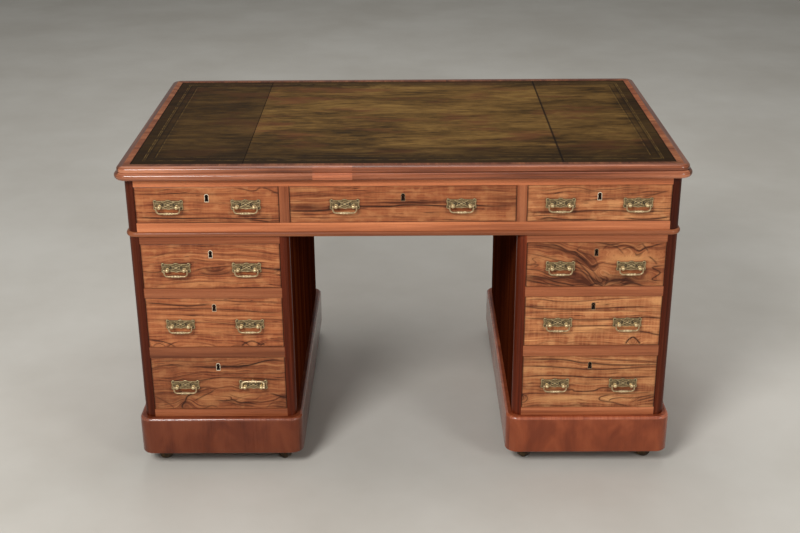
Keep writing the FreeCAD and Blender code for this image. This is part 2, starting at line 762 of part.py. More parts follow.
def make_handle():
    """One handle about the middle of its pivot line, with the drawer's face at y = 0.

    Returns the fixed brasses, the bolt holes that they need, and the swinging bail.
    """
    roundel_x = "plate_width/2 - roundel_radius"
    up = ("-plate_fall + roundel_radius", "plate_rise - roundel_radius")
    lobes = [board("plate_field", (minus(roundel_x), roundel_x), ("-plate_thickness", "0"), up)]
    lobe_places = {
        "left_lower_roundel": ("roundel_radius", minus(roundel_x), up[0]),
        "right_lower_roundel": ("roundel_radius", roundel_x, up[0]),
        "right_upper_roundel": ("roundel_radius", roundel_x, up[1]),
        "left_upper_roundel": ("roundel_radius", minus(roundel_x), up[1]),
        "plate_crest": ("crest_radius", "0", "plate_rise - crest_radius"),
    }
    for name, (radius, x, z) in lobe_places.items():
        lobes.append(rod(name, radius, "plate_thickness", x, "-plate_thickness", z, along_y))
    fixed = []
    holes = []
    for name, x in (("left", "-post_spacing/2"), ("right", "post_spacing/2")):
        bolt_length = "head_projection + front_thickness + nut_thickness"
        neck_length = "head_projection - plate_thickness"
        ball = doc.addObject("Part::Sphere", f"{name}_post_ball")
        ball.setExpression("Radius", bound("head_radius"))
        place(ball, x, "-head_projection")
        neck = rod(f"{name}_post_neck", "neck_radius", neck_length, x, "-head_projection", "0", along_y)
        bolt = rod(f"{name}_post_bolt", "bolt_radius", bolt_length, x, "-head_projection", "0", along_y)
        eye_length = "2*head_radius + 2*overrun"
        eye_start = f"{x} - head_radius - overrun"
        eye_place = (eye_start, "-head_projection", "0", along_x)
        eye = rod(f"{name}_eye", "pin_radius + pin_play", eye_length, *eye_place)
        fixed.append(cut(f"{name}_post", fuse(f"{name}_post_form", [ball, neck, bolt]), eye))
        nut_place = ("nut_thickness", x, "front_thickness", "0", along_y)
        nut_stock = rod(f"{name}_nut_stock", "nut_radius", *nut_place)
        fixed.append(cut(f"{name}_nut", nut_stock, rod(f"{name}_nut_thread", "bolt_radius", *nut_place)))
        hole = ("bolt_radius + bolt_play", "front_thickness + 2*overrun", x, "-overrun", "0", along_y)
        holes.append(rod(f"{name}_bolt_hole", *hole))
    plate_stock = fuse("plate_stock", lobes)
    plate_holes = [
        rod(f"plate_hole_{number}", "bolt_radius", "plate_thickness", x, "-plate_thickness", "0", along_y)
        for number, x in enumerate(("-post_spacing/2", "post_spacing/2"))
    ]
    fixed.append(cut("handle_plate", plate_stock, group("plate_holes", plate_holes)))
    fixings = group("handle_fixings", fixed)
    bolt_holes = group("handle_bolt_holes", holes)
    # The bail's path: down one arm, across the bar and up the other arm
    path = doc.addObject("Sketcher::SketchObject", "bail_path")
    path.Placement.Rotation = FreeCAD.Rotation(FreeCAD.Vector(1, 0, 0), 90)
    half, drop, bend = sheet.bail_width / 2, sheet.bail_drop, sheet.bail_corner_radius
    quarter = math.pi / 2
    path.addGeometry([
        sketch_line((-half, 0), (-half, bend - drop)),
        sketch_arc((bend - half, bend - drop), bend, 2 * quarter, 3 * quarter),
        sketch_line((bend - half, -drop), (half - bend, -drop)),
        sketch_arc((half - bend, bend - drop), bend, 3 * quarter, 4 * quarter),
        sketch_line((half, bend - drop), (half, 0)),
    ])
    for first, first_end, second, second_end in ((0, 2, 1, 1), (1, 2, 2, 1), (2, 2, 3, 1), (3, 2, 4, 1)):
        path.addConstraint(Sketcher.Constraint("Tangent", first, first_end, second, second_end))
    path.addConstraint(Sketcher.Constraint("Vertical", 0))
    path.addConstraint(Sketcher.Constraint("Vertical", 4))
    path.addConstraint(Sketcher.Constraint("Equal", 1, 3))
    path.addConstraint(Sketcher.Constraint("Symmetric", 0, 1, 4, 2, -1, 1))
    for label, constraint, size in (
        ("bend", Sketcher.Constraint("Radius", 1, bend), "bail_corner_radius"),
        ("width", Sketcher.Constraint("DistanceX", 0, 1, 4, 2, 2 * half), "bail_width"),
        ("drop", Sketcher.Constraint("DistanceY", 2, 1, 0, 1, drop), "bail_drop"),
    ):
        index = path.addConstraint(constraint)
        path.renameConstraint(index, label)
        path.setExpression(f"Constraints.{label}", bound(size))
    doc.recompute()
    section = doc.addObject("Part::Circle", "bail_section")
    section.setExpression("Radius", bound("bail_radius"))
    place(section, "-bail_width/2")
    tube = doc.addObject("Part::Sweep", "bail_tube")
    tube.Sections = [section]
    tube.Spine = (path, [f"Edge{number}" for number in range(1, 6)])
    tube.Solid = True
    pieces = [tube]
    boss_start = "post_spacing/2 + head_radius + bail_boss_gap"
    boss_length = f"bail_width/2 + bail_radius + bail_boss_lip - ({boss_start})"
    pin_start = "post_spacing/2 + head_radius - pin_depth"
    pin_length = f"bail_width/2 - ({pin_start})"
    for name, boss_x, pin_x in (
        ("left", "-bail_width/2 - bail_radius - bail_boss_lip", "-bail_width/2"),
        ("right", boss_start, pin_start),
    ):
        pieces.append(rod(f"{name}_boss", "bail_boss_radius", boss_length, boss_x, turn=along_x))
        pieces.append(rod(f"{name}_pin", "pin_radius", pin_length, pin_x, turn=along_x))
    # The bar swells to a short barrel that tapers into the wire at both ends
    taper = "(swell_length - swell_middle)/2"
    pieces.append(rod("bar_barrel", "swell_radius", "swell_middle", "-swell_middle/2", z="-bail_drop", turn=along_x))
    for name, start, first, last in (
        ("left", "-swell_length/2", "swell_tip_radius", "swell_radius"),
        ("right", "swell_middle/2", "swell_radius", "swell_tip_radius"),
    ):
        cone = doc.addObject("Part::Cone", f"bar_{name}_taper")
        for side, size in (("Radius1", first), ("Radius2", last), ("Height", taper)):
            cone.setExpression(side, bound(size))
        cone.Placement.Rotation = along_x
        pieces.append(place(cone, start, z="-bail_drop"))
    return fixings, bolt_holes, fuse("bail_form", pieces)


def key_form(name, radius, half_width, drop, x, y, z, depth):
    """A keyhole's shape, or its surround's: a round head over a straight shank."""
    head = rod(f"{name}_head", radius, depth, x, y, z, along_y)
    across = (f"{x} - {half_width}", f"{x} + {half_width}")
    shank = board(f"{name}_shank", across, (y, f"{y} + {depth}"), (f"{z} - {drop}", z))
    return fuse(name, [head, shank])


def dovetails(name, opening_edge, inward, low, height, count):
    """Tails of one drawer side, spread evenly up its front edge. They widen towards the front."""
    span = f"(({height}) - side_drop)"
    thickness = "drawer_side_thickness"
    start = opening_edge if inward > 0 else f"({opening_edge}) - {thickness}"
    tails = []
    for number in range(count):
        middle = f"{low} + {span}*{2 * number + 1}/{2 * count}"
        tail = doc.addObject("Part::Wedge", f"{name}_tail_{number + 1}")
        for side, value in (
            ("Xmax", thickness),
            ("X2max", thickness),
            ("Ymax", "tail_length"),
            ("Zmax", "tail_root/2 + tail_flare"),
            ("Z2max", "tail_root/2"),
            ("Xmin", "0"),
            ("X2min", "0"),
            ("Ymin", "0"),
            ("Zmin", "-tail_root/2 - tail_flare"),
            ("Z2min", "-tail_root/2"),
        ):
            tail.setExpression(side, bound(value))
        tails.append(place(tail, start, f"{front} + front_thickness - tail_length", middle))
    return tails


def make_drawer(name, opening, low, height, handle_shift, handle_drop, key_drop, tail_count, handle):
    """One drawer of five boards, its brasses, and its two bails as separate nodes."""
    fixings, bolt_holes, bail = handle
    middle = f"(({opening[0]}) + ({opening[1]}))/2"
    edges_x = (f"{opening[0]} + drawer_gap", f"{opening[1]} - drawer_gap")
    face = front
    front_back = f"{front} + front_thickness"
    rear = f"{back_frame_front} - drawer_rear_gap"
    side_up = (low, f"{low} + {height} - side_drop")
    left_across = (edges_x[0], f"{edges_x[0]} + drawer_side_thickness")
    right_across = (f"{edges_x[1]} - drawer_side_thickness", edges_x[1])
    floor_up = (f"{low} + drawer_bottom_rise", f"{low} + drawer_bottom_rise + drawer_bottom_thickness")
    floor = board(
        f"{name}_floor",
        (f"{left_across[1]} - groove_depth", f"{right_across[0]} + groove_depth"),
        (f"{front_back} - groove_depth", rear),
        floor_up,
    )
    left_tails = dovetails(f"{name}_left", edges_x[0], 1, low, height, tail_count)
    right_tails = dovetails(f"{name}_right", edges_x[1], -1, low, height, tail_count)
    boards = [floor]
    for side, across, tails in (("left", left_across, left_tails), ("right", right_across, right_tails)):
        stock = board(f"{name}_{side}_stock", across, (front_back, rear), side_up)
        tailed = fuse(f"{name}_{side}_tailed", [stock, *tails])
        boards.append(cut(f"{name}_{side}_side", tailed, floor))
    back_up = (floor_up[1], f"{side_up[1]} - back_drop")
    back_across = (left_across[1], right_across[0])
    back_along = (f"{rear} - drawer_back_thickness", rear)
    boards.append(board(f"{name}_back", back_across, back_along, back_up))
    # Brasses, and what is cut for them
    key_z = f"{low} + {height} - {key_drop}"
    handle_z = f"{low} + ({height})/2 - {handle_drop}"
    placed = []
    holes = []
    bails = {}
    # Each handle stands near the middle between the lock and the drawer's side
    inner_half = f"((({opening[1]}) - ({opening[0]}))/2 - drawer_gap - drawer_side_thickness)"
    handle_offset = f"(({inner_half} + lock_width/2)/2 - {handle_shift})"
    for side, sign in (("left", "-"), ("right", "+")):
        x = f"{middle} {sign} {handle_offset}"
        placed.append(group(f"{name}_{side}_fixings", [fixings], x, face, handle_z))
        holes.append(group(f"{name}_{side}_bolt_holes", [bolt_holes], x, face, handle_z))
        bail_name = f"{name}_{side}_bail"
        lift = raised_angle if bail_name == raised_bail else 0
        turn = FreeCAD.Rotation(FreeCAD.Vector(1, 0, 0), -lift)
        bails[bail_name] = group(bail_name, [bail], x, f"{face} - head_projection", handle_z, turn)
    keyhole = key_form(
        f"{name}_keyhole", "key_radius", "key_slot_width/2", "key_slot_drop",
        middle, f"{face} - overrun", key_z, "front_thickness + overrun"
    )
    surround_drop = "(escutcheon_height - escutcheon_width/2)"
    # The surround's round head stands higher than the keyhole's, so that the hole is in its middle
    surround_z = f"{key_z} + (escutcheon_height - key_slot_drop + key_radius)/2 - escutcheon_width/2"
    surround = key_form(
        f"{name}_surround", "escutcheon_width/2", "escutcheon_width/2", surround_drop,
        middle, f"{face} - escutcheon_proud", surround_z, "escutcheon_thickness + escutcheon_proud"
    )
    lock_across = (f"{middle} - lock_width/2", f"{middle} + lock_width/2")
    lock_along = (f"{front_back} - lock_depth", front_back)
    lock_up = (f"{key_z} - lock_fall", f"{key_z} + lock_rise")
    lock_stock = board(f"{name}_lock_stock", lock_across, lock_along, lock_up)
    bolt_middle = f"{front_back} - lock_depth/2"
    bolt = board(
        f"{name}_lock_bolt",
        (f"{middle} - lock_bolt_width/2", f"{middle} + lock_bolt_width/2"),
        (f"{bolt_middle} - lock_bolt_thickness/2", f"{bolt_middle} + lock_bolt_thickness/2"),
        (f"{lock_up[1]} - lock_bolt_height", lock_up[1]),
    )
    front_up = (f"{low} + drawer_gap", f"{low} + {height} - drawer_gap")
    front_stock = board(f"{name}_front_stock", edges_x, (face, front_back), front_up)
    cutters = group(
        f"{name}_front_cutters",
        [floor, *left_tails, *right_tails, *holes, keyhole, surround, lock_stock],
    )
    boards.append(cut(f"{name}_front", front_stock, cutters))
    placed.append(cut(f"{name}_escutcheon", surround, keyhole))
    placed.append(cut(f"{name}_lock", lock_stock, group(f"{name}_lock_cutters", [bolt, keyhole])))
    placed.append(bolt)
    return {name: group(name, boards), f"{name}_brasses": group(f"{name}_brasses", placed), **bails}


# One bail was left standing against its plate: this far up from hanging
raised_bail = "left_bottom_drawer_right_bail"
raised_angle = 193

nodes = {**make_top(), **make_frieze(), **make_pedestals(), **make_plinths(), **make_castors()}
handle = make_handle()
frieze_fittings = ("frieze_handle_drop", "frieze_key_drop", 3, handle)
for name, opening, offset in (
    ("frieze_left_drawer", side_opening, "side_handle_shift"),
    ("frieze_centre_drawer", centre_opening, "centre_handle_shift"),
    ("frieze_right_drawer", flip(side_opening), "side_handle_shift"),
):
    frieze_drawer = (frieze_drawer_low, "frieze_drawer_height", offset)
    nodes.update(make_drawer(name, opening, *frieze_drawer, *frieze_fittings))
for side, opening in (("left", pedestal_opening), ("right", flip(pedestal_opening))):
    for level, low, height, tail_count in (
        ("top", top_drawer_low, "top_drawer_height", 4),
        ("middle", middle_drawer_low, "middle_drawer_height", 4),
        ("bottom", bottom_drawer_low, "bottom_drawer_height", 5),
    ):
        nodes.update(make_drawer(
            f"{side}_{level}_drawer", opening, low, height, "pedestal_handle_shift",
            "pedestal_handle_drop", "pedestal_key_drop", tail_count, handle
        ))

doc.recompute()

faults = [piece.Label for piece in doc.Objects if {"Invalid", "Error"} & set(piece.State)]
for name, piece in nodes.items():
    if piece.Shape.isNull() or not piece.Shape.isValid() or not piece.Shape.Solids:
        faults.append(name)
if faults:
    sys.exit("These pieces failed: " + ", ".join(sorted(set(faults))))

os.makedirs("parts", exist_ok=True)
for name, piece in nodes.items():
    piece.Label = name
    Part.makeCompound(piece.Shape.Solids).exportStep(f"parts/{name}.step")
print(f"{len(nodes)} nodes, {sum(len(piece.Shape.Solids) for piece in nodes.values())} solids")
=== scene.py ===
import math
import bmesh
import bpy
import numpy as np
from mathutils import Matrix


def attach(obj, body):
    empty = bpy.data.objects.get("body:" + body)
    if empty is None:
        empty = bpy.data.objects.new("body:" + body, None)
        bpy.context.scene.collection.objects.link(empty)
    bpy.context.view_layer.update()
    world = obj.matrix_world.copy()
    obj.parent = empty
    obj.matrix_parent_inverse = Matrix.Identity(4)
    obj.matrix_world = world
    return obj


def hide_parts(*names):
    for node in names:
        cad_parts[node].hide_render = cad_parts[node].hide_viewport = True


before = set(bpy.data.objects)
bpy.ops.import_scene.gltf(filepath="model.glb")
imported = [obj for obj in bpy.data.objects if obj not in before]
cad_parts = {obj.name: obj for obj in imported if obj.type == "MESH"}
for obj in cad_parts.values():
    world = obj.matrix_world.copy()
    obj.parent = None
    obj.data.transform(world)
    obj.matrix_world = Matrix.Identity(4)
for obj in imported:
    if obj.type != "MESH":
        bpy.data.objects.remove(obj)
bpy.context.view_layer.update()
print("frame:", len(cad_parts), "nodes")

mm = 0.001                                   # the part's own sizes are in millimetres
draw = np.random.default_rng(1880)           # every board takes its place in the tree from here


# Shader maths

# One node socket. Its operators add Math nodes, with itself on the left of + and *
class Link:

    def __init__(self, finish, socket):
        self.finish = finish
        self.socket = socket

    def maths(self, operation, other, swapped=False):
        pair = (other, self) if swapped else (self, other)
        return self.finish.node("ShaderNodeMath", {"operation": operation}, {0: pair[0], 1: pair[1]})

    def __add__(self, other):
        return self.maths("ADD", other)

    def __sub__(self, other):
        return self.maths("SUBTRACT", other)

    def __rsub__(self, other):
        return self.maths("SUBTRACT", other, True)

    def __mul__(self, other):
        return self.maths("MULTIPLY", other)

    def __abs__(self):
        return self.maths("ABSOLUTE", 0)


# One material, built up node by node
class Finish:

    def __init__(self, name):
        self.material = bpy.data.materials.new(name)
        self.material.use_nodes = True
        self.tree = self.material.node_tree
        self.tree.nodes.clear()

    # Adds a node: its settings first, then the values or links of its sockets
    def node(self, kind, settings=None, sockets=None, out=0):
        made = self.tree.nodes.new(kind)
        for key, value in (settings or {}).items():
            if key == "stops":
                elements = made.color_ramp.elements
                while len(elements) < len(value):
                    elements.new(1.0)
                for element, (place, colour) in zip(elements, value):
                    element.position = place
                    element.color = colour
            else:
                setattr(made, key, value)
        for key, value in (sockets or {}).items():
            if isinstance(value, Link):
                self.tree.links.new(value.socket, made.inputs[key])
            else:
                made.inputs[key].default_value = value
        return Link(self, made.outputs[out]) if made.outputs else made

    def read(self, name, out="Vector"):
        return self.node("ShaderNodeAttribute", {"attribute_name": name}, out=out)

    def part(self, vector, axis):
        return self.node("ShaderNodeSeparateXYZ", None, {0: vector}, axis)

    def scaled(self, vector, factors):
        return self.node("ShaderNodeVectorMath", {"operation": "MULTIPLY"}, {0: vector, 1: factors})

    def noise(self, vector, factors, detail=2.0, rough=0.5, twist=0.0):
        return self.node("ShaderNodeTexNoise", None, {
            "Vector": self.scaled(vector, factors), "Scale": 1.0, "Detail": detail,
            "Roughness": rough, "Distortion": twist,
        })

    # 0 below low, 1 above high, smooth between. Low may be the larger of the two
    def fade(self, value, low, high):
        sockets = {"Value": value, "From Min": low, "From Max": high}
        return self.node("ShaderNodeMapRange", {"interpolation_type": "SMOOTHSTEP"}, sockets)

    def mixed(self, share, first, second, kind="MIX"):
        settings = {"data_type": "RGBA", "blend_type": kind}
        return self.node("ShaderNodeMix", settings, {0: share, 6: first, 7: second}, 2)

    def times(self, colour, factor):
        return self.mixed(1.0, colour, factor, "MULTIPLY")

    # Colours laid one over another, each with its share
    def layered(self, colour, *layers):
        for share, over in layers:
            colour = self.mixed(share, colour, over)
        return colour

    # A line where distance is zero: 1 within two fifths of its width, 0 beyond it
    def stripe(self, distance, width):
        return self.fade(abs(distance), width, width * 0.4)

    def ramp(self, share, *stops):
        return self.node("ShaderNodeValToRGB", {"stops": stops}, {0: share})

    def bump(self, height, depth):
        return self.node("ShaderNodeBump", None, {"Height": height, "Strength": 1.0, "Distance": depth})

    # Ends the material in one Principled shader. Underscores in a socket's name stand for spaces
    def close(self, **sockets):
        named = {key.replace("_", " "): value for key, value in sockets.items()}
        shader = self.node("ShaderNodeBsdfPrincipled", None, named)
        self.node("ShaderNodeOutputMaterial", None, {"Surface": shader})
        return self.material


# A colour as a screen shows it, 0 to 255, turned into the linear colour that shaders use
def paint(red, green, blue):
    share = np.array([red, green, blue]) / 255
    linear = np.where(share <= 0.04045, share / 12.92, ((share + 0.055) / 1.055) ** 2.4)
    return (*linear.tolist(), 1.0)


# Stage: the camera stands where the photograph was taken from

cameraView = {"place": (0.0031, -3.0035, 1.6236), "pitch": 22.695, "yaw": 0.238, "roll": -0.370, "lens": 55.85}
scene = bpy.context.scene
lens = bpy.data.cameras.new("camera")
lens.sensor_width = 36.0
lens.lens = cameraView["lens"]
camera = bpy.data.objects.new("camera", lens)
scene.collection.objects.link(camera)
camera.matrix_world = (
    Matrix.Translation(cameraView["place"])
    @ Matrix.Rotation(math.radians(cameraView["yaw"]), 4, "Z")
    @ Matrix.Rotation(math.radians(90 - cameraView["pitch"]), 4, "X")
    @ Matrix.Rotation(math.radians(cameraView["roll"]), 4, "Z")
)
scene.camera = camera
scene.view_settings.view_transform = "Standard"

lamps = {                                    # place and aim in metres, width, power
    "keyLamp": ((-1.7, -3.3, 3.2), (0.0, -0.2, 0.35), 1.5, 135.0),
    "fillLamp": ((2.6, -3.0, 1.9), (0.0, 0.0, 0.4), 1.2, 36.0),
    "topLamp": ((0.3, 0.6, 3.8), (0.0, 0.0, 0.5), 2.4, 34.0),
    "backLamp": ((-0.6, 3.4, 4.4), (0.0, 0.0, 0.5), 2.4, 40.0),
}
for name, (place, aim, width, power) in lamps.items():
    lamp = bpy.data.lights.new(name, "AREA")
    lamp.shape = "DISK"
    lamp.size = width
    lamp.energy = power
    lampObject = bpy.data.objects.new(name, lamp)
    scene.collection.objects.link(lampObject)
    backward = np.array(place) - np.array(aim)
    backward = backward / np.linalg.norm(backward)
    sideways = np.cross((0, 0, 1), backward)
    sideways = sideways / np.linalg.norm(sideways)
    stand = np.eye(4)
    stand[:3, :3] = np.stack([sideways, np.cross(backward, sideways), backward], -1)
    stand[:3, 3] = place
    lampObject.matrix_world = Matrix(stand.tolist())

world = bpy.data.worlds.new("studio")
world.use_nodes = True
background = world.node_tree.nodes["Background"].inputs
background["Color"].default_value = paint(214, 214, 212)
background["Strength"].default_value = 0.33
scene.world = world


# Pale plaster floor with faint clouds
def floorFinish():
    finish = Finish("paleFloor")
    place = finish.node("ShaderNodeTexCoord", out="Object")
    clouds = finish.noise(place, (1.6, 1.6, 1.6), 5.0, 0.6)
    colour = finish.ramp(clouds, (0.35, paint(196, 191, 181)), (0.65, paint(207, 203, 194)))
    return finish.close(Base_Color=colour, Roughness=0.75)


floorMesh = bpy.data.meshes.new("floor")
floorMesh.from_pydata([(-14, -14, 0), (14, -14, 0), (14, 14, 0), (-14, 14, 0)], [], [(0, 1, 2, 3)])
floorObject = bpy.data.objects.new("floor", floorMesh)
floorMesh.materials.append(floorFinish())
scene.collection.objects.link(floorObject)
print("stage: camera, lamps, floor")


# Shapes. Every builder gives one closed shell: its points in millimetres, quads and end caps

axes = {"x": (0, 1, 2), "y": (1, 0, 2), "z": (2, 0, 1)}   # along the grain, then the two ways across it
outwardOf = {"front": (0, -1), "right": (1, 0), "back": (0, 1), "left": (-1, 0)}


# The points round the rim of a grid, in order
def rimOf(index):
    return np.concatenate([index[0, :-1], index[:-1, -1], index[-1, :0:-1], index[:0:-1, 0]])


# The cells of a grid of points, row after row. Around joins the last column to the first, joined the last row
def quadsOf(rows, columns, around=False, joined=False):
    row, column = np.meshgrid(
        np.arange(rows if joined else rows - 1), np.arange(columns if around else columns - 1), indexing="ij"
    )
    following = (column + 1) % columns
    lower, upper = row * columns, (row + 1) % rows * columns
    corners = (lower + column, lower + following, upper + following, upper + column)
    return np.stack(corners, -1).reshape(-1, 4)


# A tube through rows of points, each row a closed loop: capped at both ends, or joined end to end as a ring
def shell(grid, ring=False):
    rows, columns = grid.shape[:2]
    loop = np.arange(columns)
    caps = [] if ring else [loop.tolist(), (loop + (rows - 1) * columns).tolist()]
    return {"points": grid.reshape(-1, 3), "quads": quadsOf(rows, columns, True, ring), "caps": caps}


# A sheet of points over a rectangle, with walls along one axis to a flat back
def slab(grid, axis, back):
    rows, columns = grid.shape[:2]
    index = np.arange(rows * columns).reshape(rows, columns)
    rim = rimOf(index)
    points = grid.reshape(-1, 3)
    foot = points[rim].copy()
    foot[:, axis] = back
    ring = rows * columns + np.arange(len(rim))
    walls = np.stack([rim, np.roll(rim, -1), np.roll(ring, -1), ring], -1)
    quads = np.vstack([quadsOf(rows, columns), walls])
    return {"points": np.vstack([points, foot]), "quads": quads, "caps": [ring.tolist()]}


# Gives a shape its grain: metres along, across and through, from a place of its own in the tree
def grained(shape, along, tone=1.0, warmth=0.0, figure=0.0, spread=0.05):
    shift = draw.uniform(0, 4, 3)
    light, warm = draw.uniform(-spread, spread, 2)
    carried = shape.pop("carried", None)
    if carried is None:
        carried = shape["points"][:, axes[along]] * mm
    shape["grain"] = carried + shift
    shape["tone"] = np.tile((tone * (1 + light), warmth + warm, figure), (len(shape["points"]), 1))
    return shape


# A rounded rectangle carried along the grain; its end rings step in by a quarter circle
def board(span, along, arris=0.4, **tones):
    low, high = np.array(span, float).reshape(3, 2).T
    length, wide, thick = ((high - low) / 2)[list(axes[along])]
    bend = np.radians([0, 45, 90])
    inset = arris * (1 - np.sin(bend))
    reach = length - arris * (1 - np.cos(bend))
    inset = np.concatenate([inset, inset[::-1]])[:, None]
    steps = np.concatenate([-reach, reach[::-1]])[:, None]
    angle = np.radians(np.arange(0, 360, 90)[:, None] + np.array([0, 45, 90])).reshape(-1)
    right = np.repeat([1, -1, -1, 1], 3)
    up = np.repeat([1, 1, -1, -1], 3)
    radius = arris - 0.8 * inset
    across = right * (wide - inset - radius) + radius * np.cos(angle)
    through = up * (thick - inset - radius) + radius * np.sin(angle)
    grid = np.stack([np.broadcast_to(steps, across.shape), across, through], -1)
    placed = np.empty_like(grid)
    placed[..., list(axes[along])] = grid
    return grained(shell(placed + (low + high) / 2), along, **tones)


# An upright whose outer corner is a quarter circle: the section is carried straight up
def post(corner, width, depth, low, high, facing, radius, **tones):
    bend = np.radians(np.linspace(180, 270, 13))
    nose = np.stack([radius + radius * np.cos(bend), radius + radius * np.sin(bend)], -1)
    section = np.vstack([nose, [(width, 0), (width, depth), (0, depth)]]) * facing + np.array(corner)
    grid = np.zeros((2, len(section), 3))
    grid[..., :2] = section
    grid[..., 2] = np.array([low, high], float)[:, None]
    return grained(shell(grid), "z", **tones) | {"patch": 1}


# A soft ridge that is one at distance zero
def ridge(distance, width):
    return np.exp(-(distance / width) ** 2)


# Points of an arc, for profiles
def arc(centre, radius, first, last, steps=7):
    angle = np.radians(np.linspace(first, last, steps))
    return np.stack([centre[0] + radius * np.cos(angle), centre[1] + radius * np.sin(angle)], -1)


# One mitred length of a moulding round a rectangle with rounded corners. The profile is pairs of
# (outwards, up), carried from the middle of one corner's arc to the middle of the next, or over the
# span that is given. The profile's points that are numbered in square keep a sharp corner
def mitred(side, half, radius, profile, centre=0.0, square=(), span=(None, None), crosswise=False, **tones):
    normal = np.array(outwardOf[side], float)
    tangent = np.array((-normal[1], normal[0]))
    reach, stand = half if side in ("front", "back") else half[::-1]
    profile = np.array(profile, float)
    bend = np.radians(np.linspace(45, 0, 8) if radius else [45.0])
    straight = reach - radius
    rows = [(-straight, -angle) for angle in bend] if span[0] is None else [(span[0], 0.0)]
    rows += [(straight, angle) for angle in bend[::-1]] if span[1] is None else [(span[1], 0.0)]
    place, angle = np.array(rows).T[..., None]
    distance = radius + profile[:, 0]
    outwards = stand - radius + distance * np.cos(angle)
    sideways = place + distance * np.sin(angle)
    sharp = np.isin(np.arange(len(profile)), square)
    end = reach + profile[:, 0]
    cornered = np.where(angle == 0, np.clip(place, -end, end), np.sign(angle) * end)
    outwards = np.where(sharp, stand + profile[:, 0], outwards)
    sideways = np.where(sharp, cornered, sideways)
    grid = np.empty((*outwards.shape, 3))
    grid[..., :2] = outwards[..., None] * normal + sideways[..., None] * tangent
    grid[..., 0] += centre
    grid[..., 2] = profile[:, 1]
    girth = np.linalg.norm(np.diff(profile, axis=0, prepend=profile[:1]), axis=1).cumsum()
    girth = np.broadcast_to(girth, outwards.shape)
    travelled = np.broadcast_to(place + radius * angle, outwards.shape)
    along, across = (girth, travelled) if crosswise else (travelled, girth)
    made = shell(grid)
    made["carried"] = np.stack([along, across, 0 * across], -1).reshape(-1, 3) * mm
    return grained(made, "x", **tones)


# A profile of (along the axis, radius) turned about the axis through hub. Its ends close in small caps
def turned(profile, hub, axis, sides=20):
    profile = np.array(profile, float)
    angle = np.radians(np.arange(sides) * 360 / sides)
    along = np.broadcast_to(profile[:, :1], (len(profile), sides))
    radius = np.maximum(profile[:, 1:], 0.02)
    local = np.stack([along, radius * np.cos(angle), radius * np.sin(angle)], -1)
    placed = np.empty_like(local)
    placed[..., list(axes[axis])] = local
    return shell(placed + np.array(hub, float))


# A round bar along a flat path: every ring stands square to the path, side is the path's own normal
def bent(path, radius, side, sides):
    path = np.array(path, float)
    ahead = np.gradient(path, axis=0)
    ahead = ahead / np.linalg.norm(ahead, axis=1)[:, None]
    across = np.cross(ahead, side)[:, None]
    angle = np.radians(np.arange(sides) * 360 / sides)[:, None]
    ring = across * np.cos(angle) + np.array(side, float) * np.sin(angle)
    return shell(path[:, None] + ring * np.broadcast_to(radius, len(path))[:, None, None])


# Gives the points of a shape their relief: one share for all of them, or one for each of the first points
def rubbed(shape, share):
    relief = np.zeros((len(shape["points"]), 3))
    relief[:np.size(share) if np.ndim(share) else None, 0] = share
    return shape | {"relief": relief}


# Joins closed shells into one object at the origin, with its finishes and body, and hides the frame's parts that it
# replaces
def piece(name, body, shapes, finishes, replaces=(), sharp=24.0):
    starts = np.cumsum([0] + [len(shape["points"]) for shape in shapes])
    faces, patches = [], []
    for shape, start in zip(shapes, starts):
        cells = (shape["quads"] + start).tolist()
        caps = [[corner + int(start) for corner in cap] for cap in shape["caps"]]
        faces += cells + caps
        patch = shape.get("patch", 0)
        patches += patch if isinstance(patch, list) else [patch] * (len(cells) + len(caps))
    mesh = bpy.data.meshes.new(name)
    mesh.from_pydata((np.vstack([shape["points"] for shape in shapes]) * mm).tolist(), [], faces)
    mesh.polygons.foreach_set("material_index", patches)
    mesh.polygons.foreach_set("use_smooth", [True] * len(faces))
    for attribute in ("grain", "tone", "figure", "veins", "relief"):
        if any(attribute in shape for shape in shapes):
            blank = [np.zeros((len(shape["points"]), 3)) for shape in shapes]
            values = np.vstack([shape.get(attribute, none) for shape, none in zip(shapes, blank)])
            layer = mesh.attributes.new(attribute, "FLOAT_VECTOR", "POINT")
            layer.data.foreach_set("vector", values.astype(np.float32).ravel())
    outside = bmesh.new()
    outside.from_mesh(mesh)
    bmesh.ops.recalc_face_normals(outside, faces=outside.faces)
    outside.to_mesh(mesh)
    outside.free()
    mesh.set_sharp_from_angle(angle=math.radians(sharp))
    for finish in finishes:
        mesh.materials.append(finish)
    made = bpy.data.objects.new(name, mesh)
    scene.collection.objects.link(made)
    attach(made, body)
    if replaces:
        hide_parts(*replaces)
    return made


# Finishes

